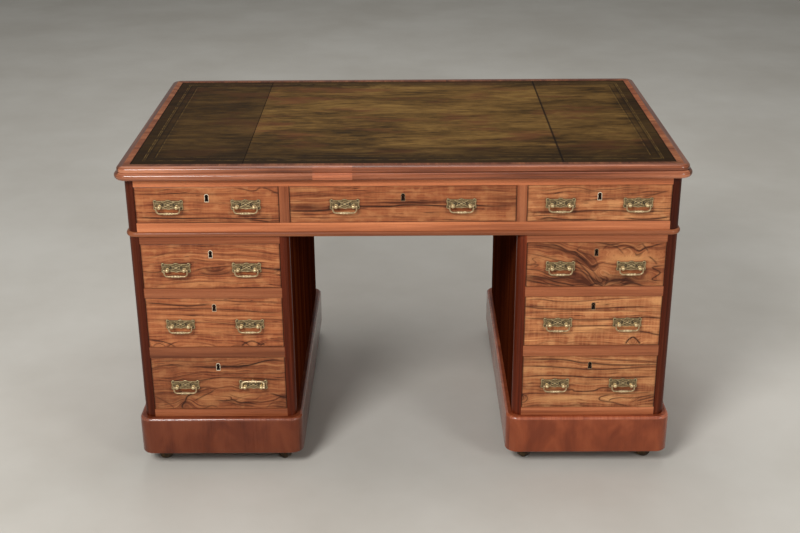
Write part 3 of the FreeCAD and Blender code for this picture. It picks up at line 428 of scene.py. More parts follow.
# Straight-grained polished wood: bands, lines, streaks and pores are drawn out along the grain, and fine is the
# lines' and streaks' share. The colours are given as a screen shows them. The tone attribute is (light, warmth)
def plainWood(
    name, dark, middle, light, coat=0.12, rough=0.36, gloss=0.26, polish=0.2, drawn=(1.3, 30, 30), fine=0.52
):
    finish = Finish(name)
    dark, middle, light = paint(*dark), paint(*middle), paint(*light)
    grain, tone = finish.read("grain"), finish.read("tone")
    bands = finish.noise(grain, drawn, 3.0, 0.55, 0.5)
    lines = finish.noise(grain, (2.0, 130, 130), 3.0, 0.6, 0.3)
    streaks = finish.noise(grain, (6, 420, 420), 3.0, 0.62)
    pores = finish.noise(grain, (110, 1700, 1700), 1.0)
    share = bands * (1 - fine) + lines * (fine * 0.55) + streaks * (fine * 0.45)
    colour = finish.ramp(share, (0.38, dark), (0.5, middle), (0.61, light))
    redder = finish.times(colour, (1.10, 0.92, 0.82, 1.0))
    colour = finish.mixed(finish.part(tone, 1) * 6.0 + 0.4, colour, redder)
    colour = finish.mixed(finish.fade(pores, 0.40, 0.32) * 0.4, colour, dark)
    colour = finish.times(colour, finish.part(tone, 0))
    return finish.close(
        Base_Color=colour,
        Roughness=streaks * 0.2 + (rough - 0.1),
        Specular_IOR_Level=gloss,
        Coat_Weight=coat,
        Coat_Roughness=polish,
        Normal=finish.bump(streaks + finish.fade(pores, 0.32, 0.42), 0.00008),
    )


# Figured veneer. The figure attribute is (across, ring height, smoke) in millimetres, so that bands, lines and
# streaks follow the rings; smoke below zero is a pale patch, and smoke also holds painted shade and dirt round the
# handle plates. The veins attribute is (ink, painted shade along the gaps), and the tone attribute is
# (light, straw, ripple)
def figuredVeneer(name, wood):
    finish = Finish(name)
    wood = {key: paint(*colour) for key, colour in wood.items()}
    figure, veins, tone = finish.read("figure"), finish.read("veins"), finish.read("tone")
    bands = finish.noise(figure, (0.0035, 0.055, 0), 3.0, 0.5)
    lines = finish.noise(figure, (0.0048, 0.24, 0), 3.0, 0.6)
    streaks = finish.noise(figure, (0.012, 0.95, 0), 4.0, 0.68)
    threads = finish.noise(figure, (0.0030, 0.10, 0), 2.0, 0.5)
    fibres = finish.noise(figure, (0.16, 2.6, 0), 1.0)
    mottle = finish.noise(figure, (0.030, 0.035, 0), 3.0, 0.55)
    ripple = finish.noise(figure, (0.19, 0.012, 0), 1.0)
    smoke, ink = finish.part(figure, 2), finish.part(veins, 0)
    thread = finish.fade(abs(threads - 0.5), 0.014, 0.004) * finish.fade(lines, 0.62, 0.42)
    colour = finish.layered(
        finish.ramp(
            bands * 0.28 + lines * 0.38 + streaks * 0.34,
            (0.41, wood["dark"]), (0.47, wood["middle"]), (0.54, wood["light"]), (0.61, wood["bright"]),
        ),
        (finish.fade(mottle, 0.50, 0.66) * 0.45, wood["bright"]),
        (finish.fade(mottle, 0.46, 0.34) * 0.35, wood["dark"]),
        (finish.fade(ripple, 0.42, 0.60) * finish.part(tone, 2), wood["bright"]),
        (smoke * (finish.fade(bands * 0.4 + lines * 0.6, 0.62, 0.40) * 0.7 + 0.3), wood["smoke"]),
        (smoke * -1.0, wood["pale"]),
        (thread * 0.75, wood["line"]),
        (ink * (finish.fade(streaks, 0.68, 0.36) * 0.5 + 0.75), wood["line"]),
        (finish.fade(fibres, 0.44, 0.30) * 0.3, wood["dark"]),
    )
    yellower = finish.times(colour, (0.98, 1.14, 1.19, 1.0))
    colour = finish.mixed(finish.part(tone, 1), colour, yellower)
    colour = finish.times(colour, finish.part(tone, 0))
    # Painted shade along the gaps round the front, in the line colour
    colour = finish.mixed(finish.part(veins, 1) * 0.9, colour, wood["line"])
    return finish.close(
        Base_Color=colour,
        Roughness=streaks * 0.2 + 0.26,
        Specular_IOR_Level=0.2,
        Coat_Weight=0.12,
        Coat_Roughness=0.18,
        Normal=finish.bump(streaks + fibres * 0.5, 0.00007),
    )


# Old cast or turned brass: relief is (how high and rubbed, 0 to 1). Hollows keep a dark, dull skin
def oldBrass(name, hollow, skin, bright, metal=0.6):
    finish = Finish(name)
    hollow, skin, bright = paint(*hollow), paint(*skin), paint(*bright)
    place = finish.node("ShaderNodeTexCoord", out="Object")
    worn = finish.part(finish.read("relief"), 0)
    spots = finish.noise(place, (220, 220, 220), 4.0, 0.65)
    share = worn + (spots - 0.5) * 0.7
    colour = finish.ramp(share, (0.12, hollow), (0.5, skin), (0.9, bright))
    return finish.close(
        Base_Color=colour,
        Metallic=finish.fade(share, 0.0, 0.5) * metal,
        Roughness=0.62 - finish.fade(share, 0.2, 1.0) * 0.34,
        Normal=finish.bump(spots, 0.0002),
    )


# Tooled leather, seen in object coordinates: clouds drawn out across the desk, a dark border with
# gilt fillets a few fingers in from the edge, and dark seams between the skins
def tooledLeather(hide):
    finish = Finish("tooledLeather")
    place = finish.node("ShaderNodeTexCoord", out="Object")
    across, deep = abs(finish.part(place, 0)), abs(finish.part(place, 1))
    inside = (hide["half"][0] - across).maths("MINIMUM", hide["half"][1] - deep)
    clouds = finish.noise(place, (4.2, 16.0, 1), 8.0, 0.7, 0.6)
    drift = finish.noise(place, (1.4, 3.0, 1), 3.0, 0.5)
    brushed = finish.noise(place, (16, 150, 1), 4.0, 0.65)
    grit = finish.noise(place, (38, 70, 1), 5.0, 0.7)
    pebble = finish.noise(place, (620, 620, 620), 2.0, 0.6)
    share = clouds * 0.44 + drift * 0.2 + brushed * 0.22 + grit * 0.14
    rust = finish.noise(place, (5.0, 12.0, 3), 4.0, 0.6)
    gold = finish.fade(grit, 0.40, 0.56)
    nearFront = finish.fade(finish.part(place, 1) + (clouds - 0.5) * 0.3, -0.14, -0.32)
    border = finish.fade(inside + (grit - 0.5) * 0.02 + (clouds - 0.5) * 0.08, 0.078, 0.026)

    def line(where, width):
        return finish.stripe(inside - where, width)

    beyond, seams = [], []
    for sign, dark, width in hide["sides"]:
        outwards = finish.part(place, 0) * sign
        beyond.append((finish.fade(outwards, hide["seamAt"], hide["seamAt"] + 0.001) * dark, hide["border"]))
        seams.append((finish.stripe(outwards - hide["seamAt"], width) * 0.8, hide["seam"]))
    colour = finish.layered(
        finish.ramp(share, *hide["stops"]),
        (finish.fade(rust, 0.50, 0.66) * 0.6, hide["rust"]),
        *beyond,
        (nearFront * hide["frontTone"], hide["border"]),
        (border * 0.68, hide["border"]),
        *[(line(where, width) * gold * left, hide["gilt"]) for where, width, left in hide["fillets"]],
        *[(line(where, width) * 0.7, hide["seam"]) for where, width in hide["blind"]],
        *seams,
        (finish.fade(inside, 0.004, 0.001) * 0.8, hide["seam"]),
    )
    return finish.close(
        Base_Color=colour,
        Roughness=grit * 0.3 + 0.42,
        Specular_IOR_Level=0.03,
        Normal=finish.bump(pebble + grit * 2.0, 0.00012),
    )


walnutStock = plainWood("carcaseWalnut", (124, 68, 41), (162, 97, 62), (186, 119, 80))
darkStock = plainWood(
    "plinthWalnut", (98, 45, 25), (114, 55, 31), (128, 66, 39), 0.6, 0.3, 0.05, 0.08, drawn=(7, 14, 14), fine=0.14
)
# Lighter, glossier walnut for the plinths' rounded upper edge: partly real wear, partly a painted highlight
arrisWearAndHighlight = plainWood("rubbedWalnutAndHighlight", (122, 60, 36), (140, 74, 47), (160, 92, 62), 1.0, 0.24, 0.5, 0.12)
edgeStock = plainWood("edgeWalnut", (72, 38, 24), (114, 67, 45), (154, 101, 74), 0.7, 0.32, 0.1, 0.13)
topStock = plainWood("topWalnut", (98, 50, 28), (140, 80, 49), (176, 110, 70), 0.06, 0.4, 0.08)
# Dark walnut for the rounded posts: partly the wood's colour, partly painted shade where their rounds turn from the
# light
postShadeStock = plainWood("postWalnutShaded", (54, 18, 7), (77, 30, 14), (97, 44, 24), 0.22, 0.4, 0.02, 0.1)
# The kneehole's side boards: partly the wood's own dark colour, partly painted shade
kneeholeShadeStock = plainWood("kneeholeShadedWalnut", (48, 17, 6), (68, 27, 10), (90, 42, 19), 0.0, 0.75, 0.0)
liningStock = plainWood("drawerLinings", (112, 74, 46), (146, 104, 68), (168, 126, 88), 0.0, 0.6)
insideStock = plainWood("insideWood", (98, 64, 40), (126, 86, 56), (144, 102, 70), 0.0, 0.7)
veneer = figuredVeneer("figuredWalnut", {
    "dark": (108, 50, 28), "middle": (154, 84, 49), "light": (174, 103, 62), "bright": (202, 136, 87),
    "pale": (210, 146, 92), "smoke": (80, 36, 17), "line": (44, 14, 5),
})
handleBrass = oldBrass("handleBrass", (48, 35, 20), (138, 116, 80), (218, 194, 146))
bailBrass = oldBrass("bailBrass", (84, 62, 42), (158, 132, 94), (236, 212, 168))
rimBrass = oldBrass("rimBrass", (92, 70, 50), (150, 118, 84), (244, 228, 198), 0.25)
# Near-black for the keyhole's pit and the escutcheon's inner slope: painted shade for the hole's depth, partly a dark
# lining
keyholeShade = plainWood("paintedKeyholeShade", (12, 8, 6), (18, 12, 9), (26, 18, 13), 0.0, 0.9)
leather = tooledLeather({
    "half": (0.610, 0.365), "seamAt": 0.358,
    "stops": (
        (0.41, paint(50, 35, 15)), (0.47, paint(80, 57, 26)),
        (0.53, paint(106, 78, 39)), (0.60, paint(130, 99, 52)),
    ),
    "rust": paint(98, 56, 34), "border": paint(32, 20, 8), "gilt": paint(142, 112, 62), "seam": paint(20, 13, 9),
    "sides": ((-1.0, 0.52, 0.0014), (1.0, 0.2, 0.0034)), "frontTone": 0.62,
    "fillets": ((0.0245, 0.0011, 0.5), (0.0285, 0.0009, 0.4), (0.050, 0.0010, 0.36)),
    "blind": ((0.0325, 0.0012), (0.046, 0.0012)),
})
print("finishes done")


# Top: core board, moulded edge, crossbanding and three skins of leather

topEdge = {"half": (645, 400), "radius": 32.0, "low": 740.0, "nose": 757.0, "high": 770.0}
topCore = {"across": 624, "deep": 379, "high": 768.5}       # its upper face carries the crossbands and the leather
edgeProfile = np.vstack([
    [(-21, topEdge["low"])],
    arc((-8.2, topEdge["low"] + 8.2), 8.2, -90, 0),
    arc((-8.2, topEdge["nose"] - 8.2), 8.2, 0, 90),
    arc((-9.5, topEdge["nose"] + 3), 3.0, -90, 0, 4),
    arc((-13.5, topEdge["high"] - 7), 7.0, 0, 90),
    [(-21, topEdge["high"])],
])
noseRows = 15                                # the first point and two arcs of seven
nose = np.vstack([edgeProfile[:noseRows], [(-21, topEdge["nose"])]])
step = np.vstack([[(-21, topEdge["nose"])], edgeProfile[noseRows:]])
# The front lengths' tones are raised to carry the nose's painted highlight as well as their colour; the pale mend is
# a real repair, lighter still
edgeLengths = (                              # side, where it starts and ends, profile, tone
    ("front", (None, -200), edgeProfile, 1.8), ("front", (-112, None), edgeProfile, 1.65),
    ("front", (-200, -112), nose, 2.4), ("front", (-200, -112), step, 1.6),
    ("right", (None, None), edgeProfile, 0.7), ("back", (None, None), edgeProfile, 0.8),
    ("left", (None, None), edgeProfile, 0.6),
)
topShapes = [board((
    (-topCore["across"], topCore["across"]), (-topCore["deep"], topCore["deep"]), (topEdge["low"], topCore["high"])
), "x", 0.3)]
for side, span, profile, tone in edgeLengths:
    ends = (0, len(profile) - 1)
    length = mitred(side, topEdge["half"], topEdge["radius"], profile, square=ends, span=span, tone=tone)
    topShapes.append(length | {"patch": 1})
bandWide = 14
bandProfile = [
    (0, topCore["high"]), (0, topEdge["high"]), (-bandWide, topEdge["high"]), (-bandWide, topCore["high"])
]
for side, breaks in (
    ("front", (None, -410, -190, 60, 290, 470, None)),
    ("right", (None, -210, -20, 170, None)),
    ("back", (None, -380, -120, 150, 400, None)),
    ("left", (None, -150, 60, 230, None)),
):
    for first, last in zip(breaks[:-1], breaks[1:]):
        topShapes.append(mitred(
            side, (topCore["across"], topCore["deep"]), 0.0, bandProfile, square=range(4), span=(first, last),
            crosswise=True, tone=0.53 if side in ("front", "back") else 0.84, warmth=-0.06, spread=0.1
        ))
piece("deskTopWood", "desk", topShapes, [topStock, edgeStock], ["desk_top"])

skins = {"leatherLeft": (-610, -358), "leatherCentre": (-358, 358), "leatherRight": (358, 610)}
skinSize = {"deep": 365, "low": topCore["high"], "high": 769.7, "turn": 0.8, "waves": 0.08}


# A skin: a level sheet whose rim turns down by a quarter circle, with slow waves under a tenth of a millimetre
def skin(name, first, last):
    turn, half = skinSize["turn"], skinSize["deep"]
    ends = np.array([0, 0.25, 0.8, 3.0])
    across = np.concatenate([first + ends, np.linspace(first, last, 42)[1:-1], last - ends[::-1]])
    deep = np.concatenate([-half + ends, np.linspace(-half, half, 62)[1:-1], half - ends[::-1]])
    x, y = np.meshgrid(across, deep)
    inside = np.minimum(np.minimum(x - first, last - x), np.minimum(y + half, half - y))
    inset = turn - np.minimum(inside, turn)
    waves = np.sin(x / 37 + y / 61) * np.sin(y / 43 - x / 83) * skinSize["waves"] * np.minimum(inside / 30, 1)
    z = skinSize["high"] - skinSize["waves"] + waves - turn + np.sqrt(turn ** 2 - inset ** 2)
    made = piece(name, "desk", [slab(np.stack([x, y, z], -1), 2, skinSize["low"])], [leather])
    return (made, (last - first) * mm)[0]


skinPieces = [skin(name, *span) for name, span in skins.items()]
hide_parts("leather_skins")
print("top done")


# Carcase. Rows are (across), (front to back), (up), grain, twin on the other side, tone. A pair of tones is for
# the left and the right pedestal

def boards(rows, hand=0, warmth=0.0):
    made = []
    for across, deep, up, along, twin, tone in rows:
        tone = tone[hand] if isinstance(tone, tuple) else tone
        made.append(board((across, deep, up), along, tone=tone, warmth=warmth))
        if twin:
            made.append(board(((-across[1], -across[0]), deep, up), along, tone=tone, warmth=warmth))
    return made


frontPlane = -380.0                          # the plane of every rail, post and drawer front
carcase = {"half": (625, 380), "radius": 20.0, "post": 25}
inside = (-355, 355)                         # between the front and back frames
fronts, backs = (-380, -355), (355, 380)
friezeUp, friezeSpace = (602, 740), (634.5, 721.5)
pedestalUp, pedestalAcross = (137, 602), (-600, -281)
friezeShown = [
    ((-603, 603), fronts, (602, 634.5), "x", False, 1.5),
    ((-603, 603), fronts, (721.5, 740), "x", False, 1.46),
    ((-278, -255.5), fronts, friezeSpace, "z", True, 0.82),
    ((-603, 603), backs, friezeUp, "x", False, 0.8),
    ((-625, -607), inside, friezeUp, "y", True, 0.74),
]
friezeInside = [((-607, 607), inside, (602, 612), "x", False, 1.0)]
for first, last, kind in (
    (-607, -581, "runner"), (-300, -274.8, "runner"), (-258.8, -233.5, "runner"),
    (-607, -603, "guide"), (-278, -274.8, "guide"), (-258.8, -255.5, "guide"), (-274.8, -258.8, "partition"),
):
    heights = {"runner": ((612, 634.5), (721.5, 740)), "guide": ((634.5, 654.5),), "partition": ((612, 740),)}
    for up in heights[kind]:
        friezeInside.append(((first, last), inside, up, "y", True, 1.0))
for middle in (-521.8, -359.2, -127.8):
    friezeInside.append(((middle - 15, middle + 15), (-360, -352), (634.5, 639.5), "x", True, 1.0))

friezeShapes = boards(friezeShown)
halfWide, halfDeep = carcase["half"]
for right, back in ((-1, -1), (1, -1), (1, 1), (-1, 1)):
    corner, facing = (halfWide * right, halfDeep * back), (-right, -back)
    friezeShapes.append(post(corner, 22, carcase["post"], *friezeUp, facing, carcase["radius"], tone=0.84))
beadProfile = np.vstack([
    [(-0.3, 602)], arc((0.1, 607.4), 5.4, -90, 0), arc((0.1, 608.6), 5.4, 0, 90), [(-0.3, 614)],
])
for side in outwardOf:
    friezeShapes.append(mitred(side, carcase["half"], carcase["radius"], beadProfile, tone=0.82))
piece("friezeWood", "desk", friezeShapes, [walnutStock, postShadeStock], ["frieze_carcase"])
piece("friezeInsideWood", "desk", boards(friezeInside), [insideStock])

levels = {"bottom": (157, 295.5), "middle": (322.5, 449.5), "top": (473.5, 584)}    # pedestal drawer spaces
pedestalShown = [
    (pedestalAcross, fronts, (137, 157), "x", False, (0.81, 1.29)),
    (pedestalAcross, fronts, (295.5, 322.5), "x", False, (0.67, 0.95)),
    (pedestalAcross, fronts, (449.5, 473.5), "x", False, (0.79, 1.04)),
    (pedestalAcross, fronts, (584, 602), "x", False, (0.74, 0.87)),
    (pedestalAcross, backs, (137, 197), "x", False, 0.8),
    (pedestalAcross, backs, (542, 602), "x", False, 0.8),
    (pedestalAcross, (355, 370), (197, 542), "z", False, 0.72),
    ((-625, -607), inside, pedestalUp, "z", False, 0.62),
]
kneeholeSide = [((-278, -260), inside, pedestalUp, "z", False, 1.0)]
pedestalInside = [
    ((-607, -278), inside, (137, 157), "y", False, 1.0),
    ((-607, -278), inside, (584, 602), "y", False, 1.0),
    ((-578, -303), inside, (306, 312), "x", False, 1.0),
    ((-578, -303), inside, (458.5, 464.5), "x", False, 1.0),
]
for low, high in ((295.5, 322.5), (449.5, 473.5)):
    pedestalInside += [((-607, -578), inside, (low, high), "y", False, 1.0)]
    pedestalInside += [((-303, -278), inside, (low, high), "y", False, 1.0)]
for low, high in levels.values():
    pedestalInside += [((-607, -600), inside, (low, low + 20), "y", False, 1.0)]
    pedestalInside += [((-281, -278), inside, (low, low + 20), "y", False, 1.0)]
    for middle in (-520.2, -360.8):
        pedestalInside += [((middle - 15, middle + 15), (-360, -352), (low, low + 5), "x", False, 1.0)]


# The same rows on the desk's other side
def flipped(rows):
    return [((-across[1], -across[0]), *rest) for across, *rest in rows]


for hand, (side, sign) in enumerate((("left", 1), ("right", -1))):
    turnedRows = [rows if sign > 0 else flipped(rows) for rows in (pedestalShown, pedestalInside, kneeholeSide)]
    shapes = boards(turnedRows[0], hand, (0.08, 0.0)[hand])
    # The kneehole side boards take the walnut darkened with painted shade
    shapes += [shape | {"patch": 2} for shape in boards(turnedRows[2])]
    # The inner posts by the kneehole take a far higher tone than the outer ones: painted light, for how they catch
    # the light
    for x, width, right, tones in ((-halfWide, 25, -1, (0.96, 1.12)), (-260, 21, 1, (1.6, 1.85))):
        for back in (-1, 1):
            corner, facing = (x * sign, halfDeep * back), (-right * sign, -back)
            shapes.append(post(
                corner, width, carcase["post"], *pedestalUp, facing, carcase["radius"], tone=tones[hand]
            ))
    finishes = [walnutStock, postShadeStock, kneeholeShadeStock]
    piece(side + "PedestalWood", "desk", shapes, finishes, [side + "_pedestal"])
    piece(side + "PedestalInsideWood", "desk", boards(turnedRows[1]), [insideStock])

plinth = {"half": (196.5, 394), "radius": 30.0, "centre": 442.5, "low": 42, "high": 137}
castorBlock = {"across": (308, 577), "deep": 332, "half": 30, "low": 52}
plinthProfile = np.vstack([
    [(-32, plinth["low"])], arc((-1.5, 43.5), 1.5, -90, 0, 4), arc((-6, 131), 6.0, 0, 90), [(-32, plinth["high"])],
])
plinthEnds = (0, len(plinthProfile) - 1)
# The rounded upper edge takes the lighter walnut: partly wear, partly a painted highlight
rubbedHighlightRows = range(5, 11)                    # of the profile: its rounded upper edge
plinthPatches = np.isin(np.arange(len(plinthProfile)), rubbedHighlightRows).astype(int).tolist()
for side, sign, tone in (("left", -1, 0.8), ("right", 1, 1.52)):
    shapes = []
    for wall in outwardOf:
        length = mitred(
            wall, plinth["half"], plinth["radius"], plinthProfile, centre=sign * plinth["centre"], square=plinthEnds,
            crosswise=True, tone=tone
        )
        rows = len(length["quads"]) // len(plinthProfile)
        shapes.append(length | {"patch": plinthPatches * rows + [0, 0]})
    half = castorBlock["half"]
    for x in sorted(sign * place for place in castorBlock["across"]):
        for y in (-castorBlock["deep"], castorBlock["deep"]):
            up = (castorBlock["low"], plinth["high"])
            shapes.append(board(((x - half, x + half), (y - half, y + half), up), "z"))
    piece(side + "PlinthWood", "desk", shapes, [darkStock, arrisWearAndHighlight], [side + "_plinth"])
print("carcase and plinths done")


# Drawers

# Painted shade and dirt round each handle plate: the veneer is darkened a few millimetres round its outline
plateShadeAndDirt = {"half": 34, "centre": -2, "tall": 15, "share": 0.5, "soft": 4.5}        # round each handle plate
# Painted shade along the gaps round each drawer front, darkest at its left and right ends
gapShade = {"ends": (0.9, 2.2), "top": (0.4, 1.6), "bottom": (0.5, 1.8)}          # how dark, how wide
drawerSizes = {
    "length": 715.0, "gap": 0.8, "front": 20.0, "side": 10.0, "bottom": 6.0, "rise": 8.0, "groove": 5.0,
    "sideDrop": 5.0, "backDrop": 8.0, "tail": 13.0, "tailRoot": 13.0, "tailFlare": 3.0, "cell": 1.1, "arris": 0.9,
}
keyhole = {"head": 2.3, "slot": 1.4, "drop": 7.0, "hub": -2.5, "depth": 13.0, "window": ((-4.0, 4.0), (-10.5, 5.2))}
escutcheon = {"head": 5.0, "rise": 2.4, "half": 5.0, "drop": 12.1, "proud": 0.5, "ring": 3.0}


# How far a round head over a straight shank reaches from a hub, at each angle from +X towards +Z
def keyReach(angle, head, rise, half, drop, hub):
    right, up = np.cos(angle), np.sin(angle)
    walls = np.where(np.abs(right) > 1e-9, half / np.maximum(np.abs(right), 1e-9), 1e9)
    floor = np.where(up < 0, (drop + hub) / np.maximum(-up, 1e-9), (rise - hub) / np.maximum(up, 1e-9))
    box = np.minimum(walls, floor)
    away = (rise - hub) * up
    inside = away ** 2 - (rise - hub) ** 2 + head ** 2
    circle = np.where(inside > 0, away + np.sqrt(np.maximum(inside, 0)), 0)
    return np.maximum(box, circle)


# The keyhole's own reach, from the hub that its ring and its pit share
def holeReach(angle):
    return keyReach(angle, keyhole["head"], 0.0, keyhole["slot"], keyhole["drop"], keyhole["hub"])


longVein = {"span": 70, "pull": 14.0}        # how far across it goes, and how far off it still turns the grain


# Where a vein runs at each place across, and its mean height. Beyond its ends it runs on level
def veinPath(x, vein):
    across, up = np.array(vein[1:], float).reshape(-1, 2).T
    return np.interp(x, across, up), up.mean()


# Ring height over a front, in millimetres: the height itself, slow waves, a mound for each knot or arch, and a
# shift that makes the grain run along every long vein. Colour follows lines of equal ring height
def ringHeight(x, z, figure):
    shift, total = 0.0 * x, 0.25 + 0.0 * x
    for vein in figure["veins"]:
        across = np.array(vein[1::2], float)
        if np.all(np.diff(across) > 0) and np.ptp(across) > longVein["span"]:
            path, mean = veinPath(x, vein)
            weight = ridge(z - path, longVein["pull"])
            shift = shift + weight * (mean - path)
            total = total + weight
    height = z + shift / total
    for amount, length, phase in figure["waves"]:
        height = height + amount * np.sin(2 * np.pi * (x / length + phase) + z / 60)
    for middle, level, wide, tall, lift in figure.get("knots", ()):
        height = height + lift * np.exp(-((x - middle) / wide) ** 2 - ((z - level) / tall) ** 2)
    return height


# A curve through given points, four steps to a span, each bend eased by its neighbours
def eased(points):
    points = np.array(points, float).reshape(-1, 2)
    ends = np.vstack([2 * points[0] - points[1], points, 2 * points[-1] - points[-2]])
    share = np.arange(0, 1, 0.25)[:, None, None]
    before, first, last, after = ends[:-3], ends[1:-2], ends[2:-1], ends[3:]
    curve = 2 * first + (last - before) * share
    curve = curve + (2 * before - 5 * first + 4 * last - after) * share ** 2
    curve = curve + (3 * first - before - 3 * last + after) * share ** 3
    return np.vstack([(curve / 2).transpose(1, 0, 2).reshape(-1, 2), points[-1]])


# How dark the veins lie at each point: full on a vein's curve, gone a millimetre or two beside it and at its ends
def veinInk(x, z, veins):
    ink = 0.0 * x
    spot = np.stack([x, z], -1)[:, None]
    for strength, *points in veins:
        curve = eased(points)
        first, step = curve[:-1], np.diff(curve, axis=0)
        share = ((spot - first) * step).sum(-1) / (step ** 2).sum(-1)
        share = np.clip(share, 0, 1)
        away = np.linalg.norm(spot - first - share[..., None] * step, axis=-1)
        nearest = away.argmin(1)
        rows = np.arange(len(x))
        travelled = (nearest + share[rows, nearest]) / len(step)
        taper = np.minimum(1, np.minimum(travelled, 1 - travelled) * 6 + 0.25)
        width = 0.8 + 1.3 * strength
        ink = np.maximum(ink, strength * taper * ridge(away[rows, nearest], width))
    return ink


# A drawer front: a level face on a fine grid whose edges turn back by a quarter circle, and whose grid is drawn
# in round the keyhole and carried down into it
def drawerFront(span, key, handles, figure):
    (left, right), (low, high) = span
    arris, cell = drawerSizes["arris"], drawerSizes["cell"]
    ends = np.array([0, 0.22, 0.9, 2.2])

    def graded(first, last, hole):
        parts = []
        for start, stop in ((first + ends[-1], hole[0]), hole, (hole[1], last - ends[-1])):
            parts.append(np.linspace(start, stop, max(2, round((stop - start) / cell) + 1))[:-1])
        return np.concatenate([first + ends[:-1], *parts, last - ends[::-1]])

    middle, level = key
    holeX, holeZ = [(hub + foot, hub + head) for hub, (foot, head) in zip(key, keyhole["window"])]
    across, up = graded(left, right, holeX), graded(low, high, holeZ)
    x, z = np.meshgrid(across, up)
    edge = np.minimum(np.minimum(x - left, right - x), np.minimum(z - low, high - z))
    falls = [arris - np.minimum(np.minimum(a - b, c - a), arris) for a, b, c in ((x, left, right), (z, low, high))]
    y = frontPlane + arris - np.sqrt(np.maximum(arris ** 2 - falls[0] ** 2 - falls[1] ** 2, 0))
    made = slab(np.stack([x, y, z], -1), 1, frontPlane + drawerSizes["front"])
    columns = len(across)
    first, last = np.searchsorted(across, np.array(holeX) - 0.01)
    foot, head = np.searchsorted(up, np.array(holeZ) - 0.01)
    cells = made["quads"]
    row, column = cells[:, 0] // columns, cells[:, 0] % columns
    faceCount = (len(up) - 1) * (columns - 1)
    isFace = np.arange(len(cells)) < faceCount
    gone = isFace & (row >= foot) & (row < head) & (column >= first) & (column < last)
    index = np.arange(len(up) * columns).reshape(len(up), columns)[foot:head + 1, first:last + 1]
    loop = rimOf(index)
    outline = made["points"][loop]
    angle = np.arctan2(outline[:, 2] - level - keyhole["hub"], outline[:, 0] - middle)
    reach = holeReach(angle)
    ring = np.stack([
        middle + reach * np.cos(angle), np.full(len(loop), frontPlane), level + keyhole["hub"] + reach * np.sin(angle)
    ], -1)
    pit = ring + np.array((0, keyhole["depth"], 0))
    count = len(made["points"])
    rings = [loop, count + np.arange(len(loop)), count + len(loop) + np.arange(len(loop))]
    sleeves = [
        np.stack([inner, np.roll(inner, -1), np.roll(outer, -1), outer], -1)
        for inner, outer in zip(rings[:-1], rings[1:])
    ]
    made["points"] = np.vstack([made["points"], ring, pit])
    made["quads"] = np.vstack([cells[~gone], *sleeves])
    made["caps"].append(rings[2].tolist())
    shownFaces = int((isFace & ~gone).sum())
    wallFaces = int((~isFace).sum())
    # The keyhole's walls and floor take the near-black finish: painted shade, partly a dark lining
    made["patch"] = [0] * shownFaces + [1] * wallFaces + [0] * len(loop) + [2] * len(loop) + [1, 2]
    straw, ripple = figure.get("straw", 0.0), figure.get("ripple", 0.08)
    made = grained(made, "x", spread=0.0, tone=figure["tone"], warmth=straw, figure=ripple)
    points = made["points"]
    x, z = points[:, 0] - (left + right) / 2, points[:, 2] - (low + high) / 2
    height = ringHeight(x, z, figure)
    smoke = np.zeros(len(points))
    for place, stand, wide, tall, share in figure.get("smoke", ()):
        smoke = smoke + share * np.exp(-((x - place) / wide) ** 2 - ((z - stand) / tall) ** 2)
    # Painted shade and dirt round each handle plate, carried in the smoke channel
    for handleX, handleZ in handles:
        beside = np.maximum(np.abs(x - handleX) - plateShadeAndDirt["half"], 0)
        below = np.maximum(np.abs(z - handleZ - plateShadeAndDirt["centre"]) - plateShadeAndDirt["tall"], 0)
        smoke = smoke + plateShadeAndDirt["share"] * ridge(np.hypot(beside, below), plateShadeAndDirt["soft"])
    # Painted shade along the gaps round the front, stored as the veins' second part
    toEdge = {"ends": np.minimum(points[:, 0] - left, right - points[:, 0])}
    toEdge |= {"top": high - points[:, 2], "bottom": points[:, 2] - low}
    edge = np.max([dark * ridge(toEdge[name], wide) for name, (dark, wide) in gapShade.items()], axis=0)
    made["figure"] = np.stack([x + figure["place"], height + figure["place"], smoke], -1)
    made["veins"] = np.stack([veinInk(x, z, figure["veins"]), edge, 0 * x], -1)
    return made


# The drawer's box: sides with their tails, back and bottom
def drawerBox(span, low, height, tails):
    (left, right) = span
    size = drawerSizes
    thick, groove = size["side"], size["groove"]
    rear, behind = frontPlane + size["length"], frontPlane + size["front"]
    sideTop = low + height - size["sideDrop"]
    floor = low + size["rise"]
    shapes = [
        board((
            (left + groove, right - groove), (behind - groove, rear), (floor, floor + size["bottom"])
        ), "y", 0.3),
        board((
            (left + thick, right - thick), (rear - thick, rear), (floor + size["bottom"], sideTop - size["backDrop"])
        ), "x", 0.8),
    ]
    for first, last in ((left, left + thick), (right - thick, right)):
        shapes.append(board(((first, last), (behind, rear), (low, sideTop)), "y", 1.2))
        for number in range(tails):
            middle = low + (sideTop - low) * (2 * number + 1) / (2 * tails)
            narrow, wide = size["tailRoot"] / 2, size["tailRoot"] / 2 + size["tailFlare"]
            section = []
            for y, half in ((behind - size["tail"], wide), (behind, narrow)):
                foot, head = middle - half, middle + half
                section.append([(first, y, foot), (last, y, foot), (last, y, head), (first, y, head)])
            shapes.append(grained(shell(np.array(section, float)), "y"))
    return shapes


fittings = {                                 # keyhole below the top, handles below the middle and beside it
    "frieze": (24.5, 2.5, 87.0), "centre": (24.5, 2.5, 131.0), "pedestal": (22.5, 6.5, 81.0),
}
drawers = {}
for place, across, kind in (
    ("Left", (-603, -278), "frieze"), ("Centre", (-255.5, 255.5), "centre"), ("Right", (278, 603), "frieze"),
):
    drawers["frieze" + place] = (f"frieze_{place.lower()}_drawer", across, friezeSpace, 3, fittings[kind])
for side, across in (("left", pedestalAcross), ("right", (281, 600))):
    for place, tails in (("Top", 4), ("Middle", 4), ("Bottom", 5)):
        name, space = f"{side}_{place.lower()}_drawer", levels[place.lower()]
        drawers[side + place] = (name, across, space, tails, fittings["pedestal"])
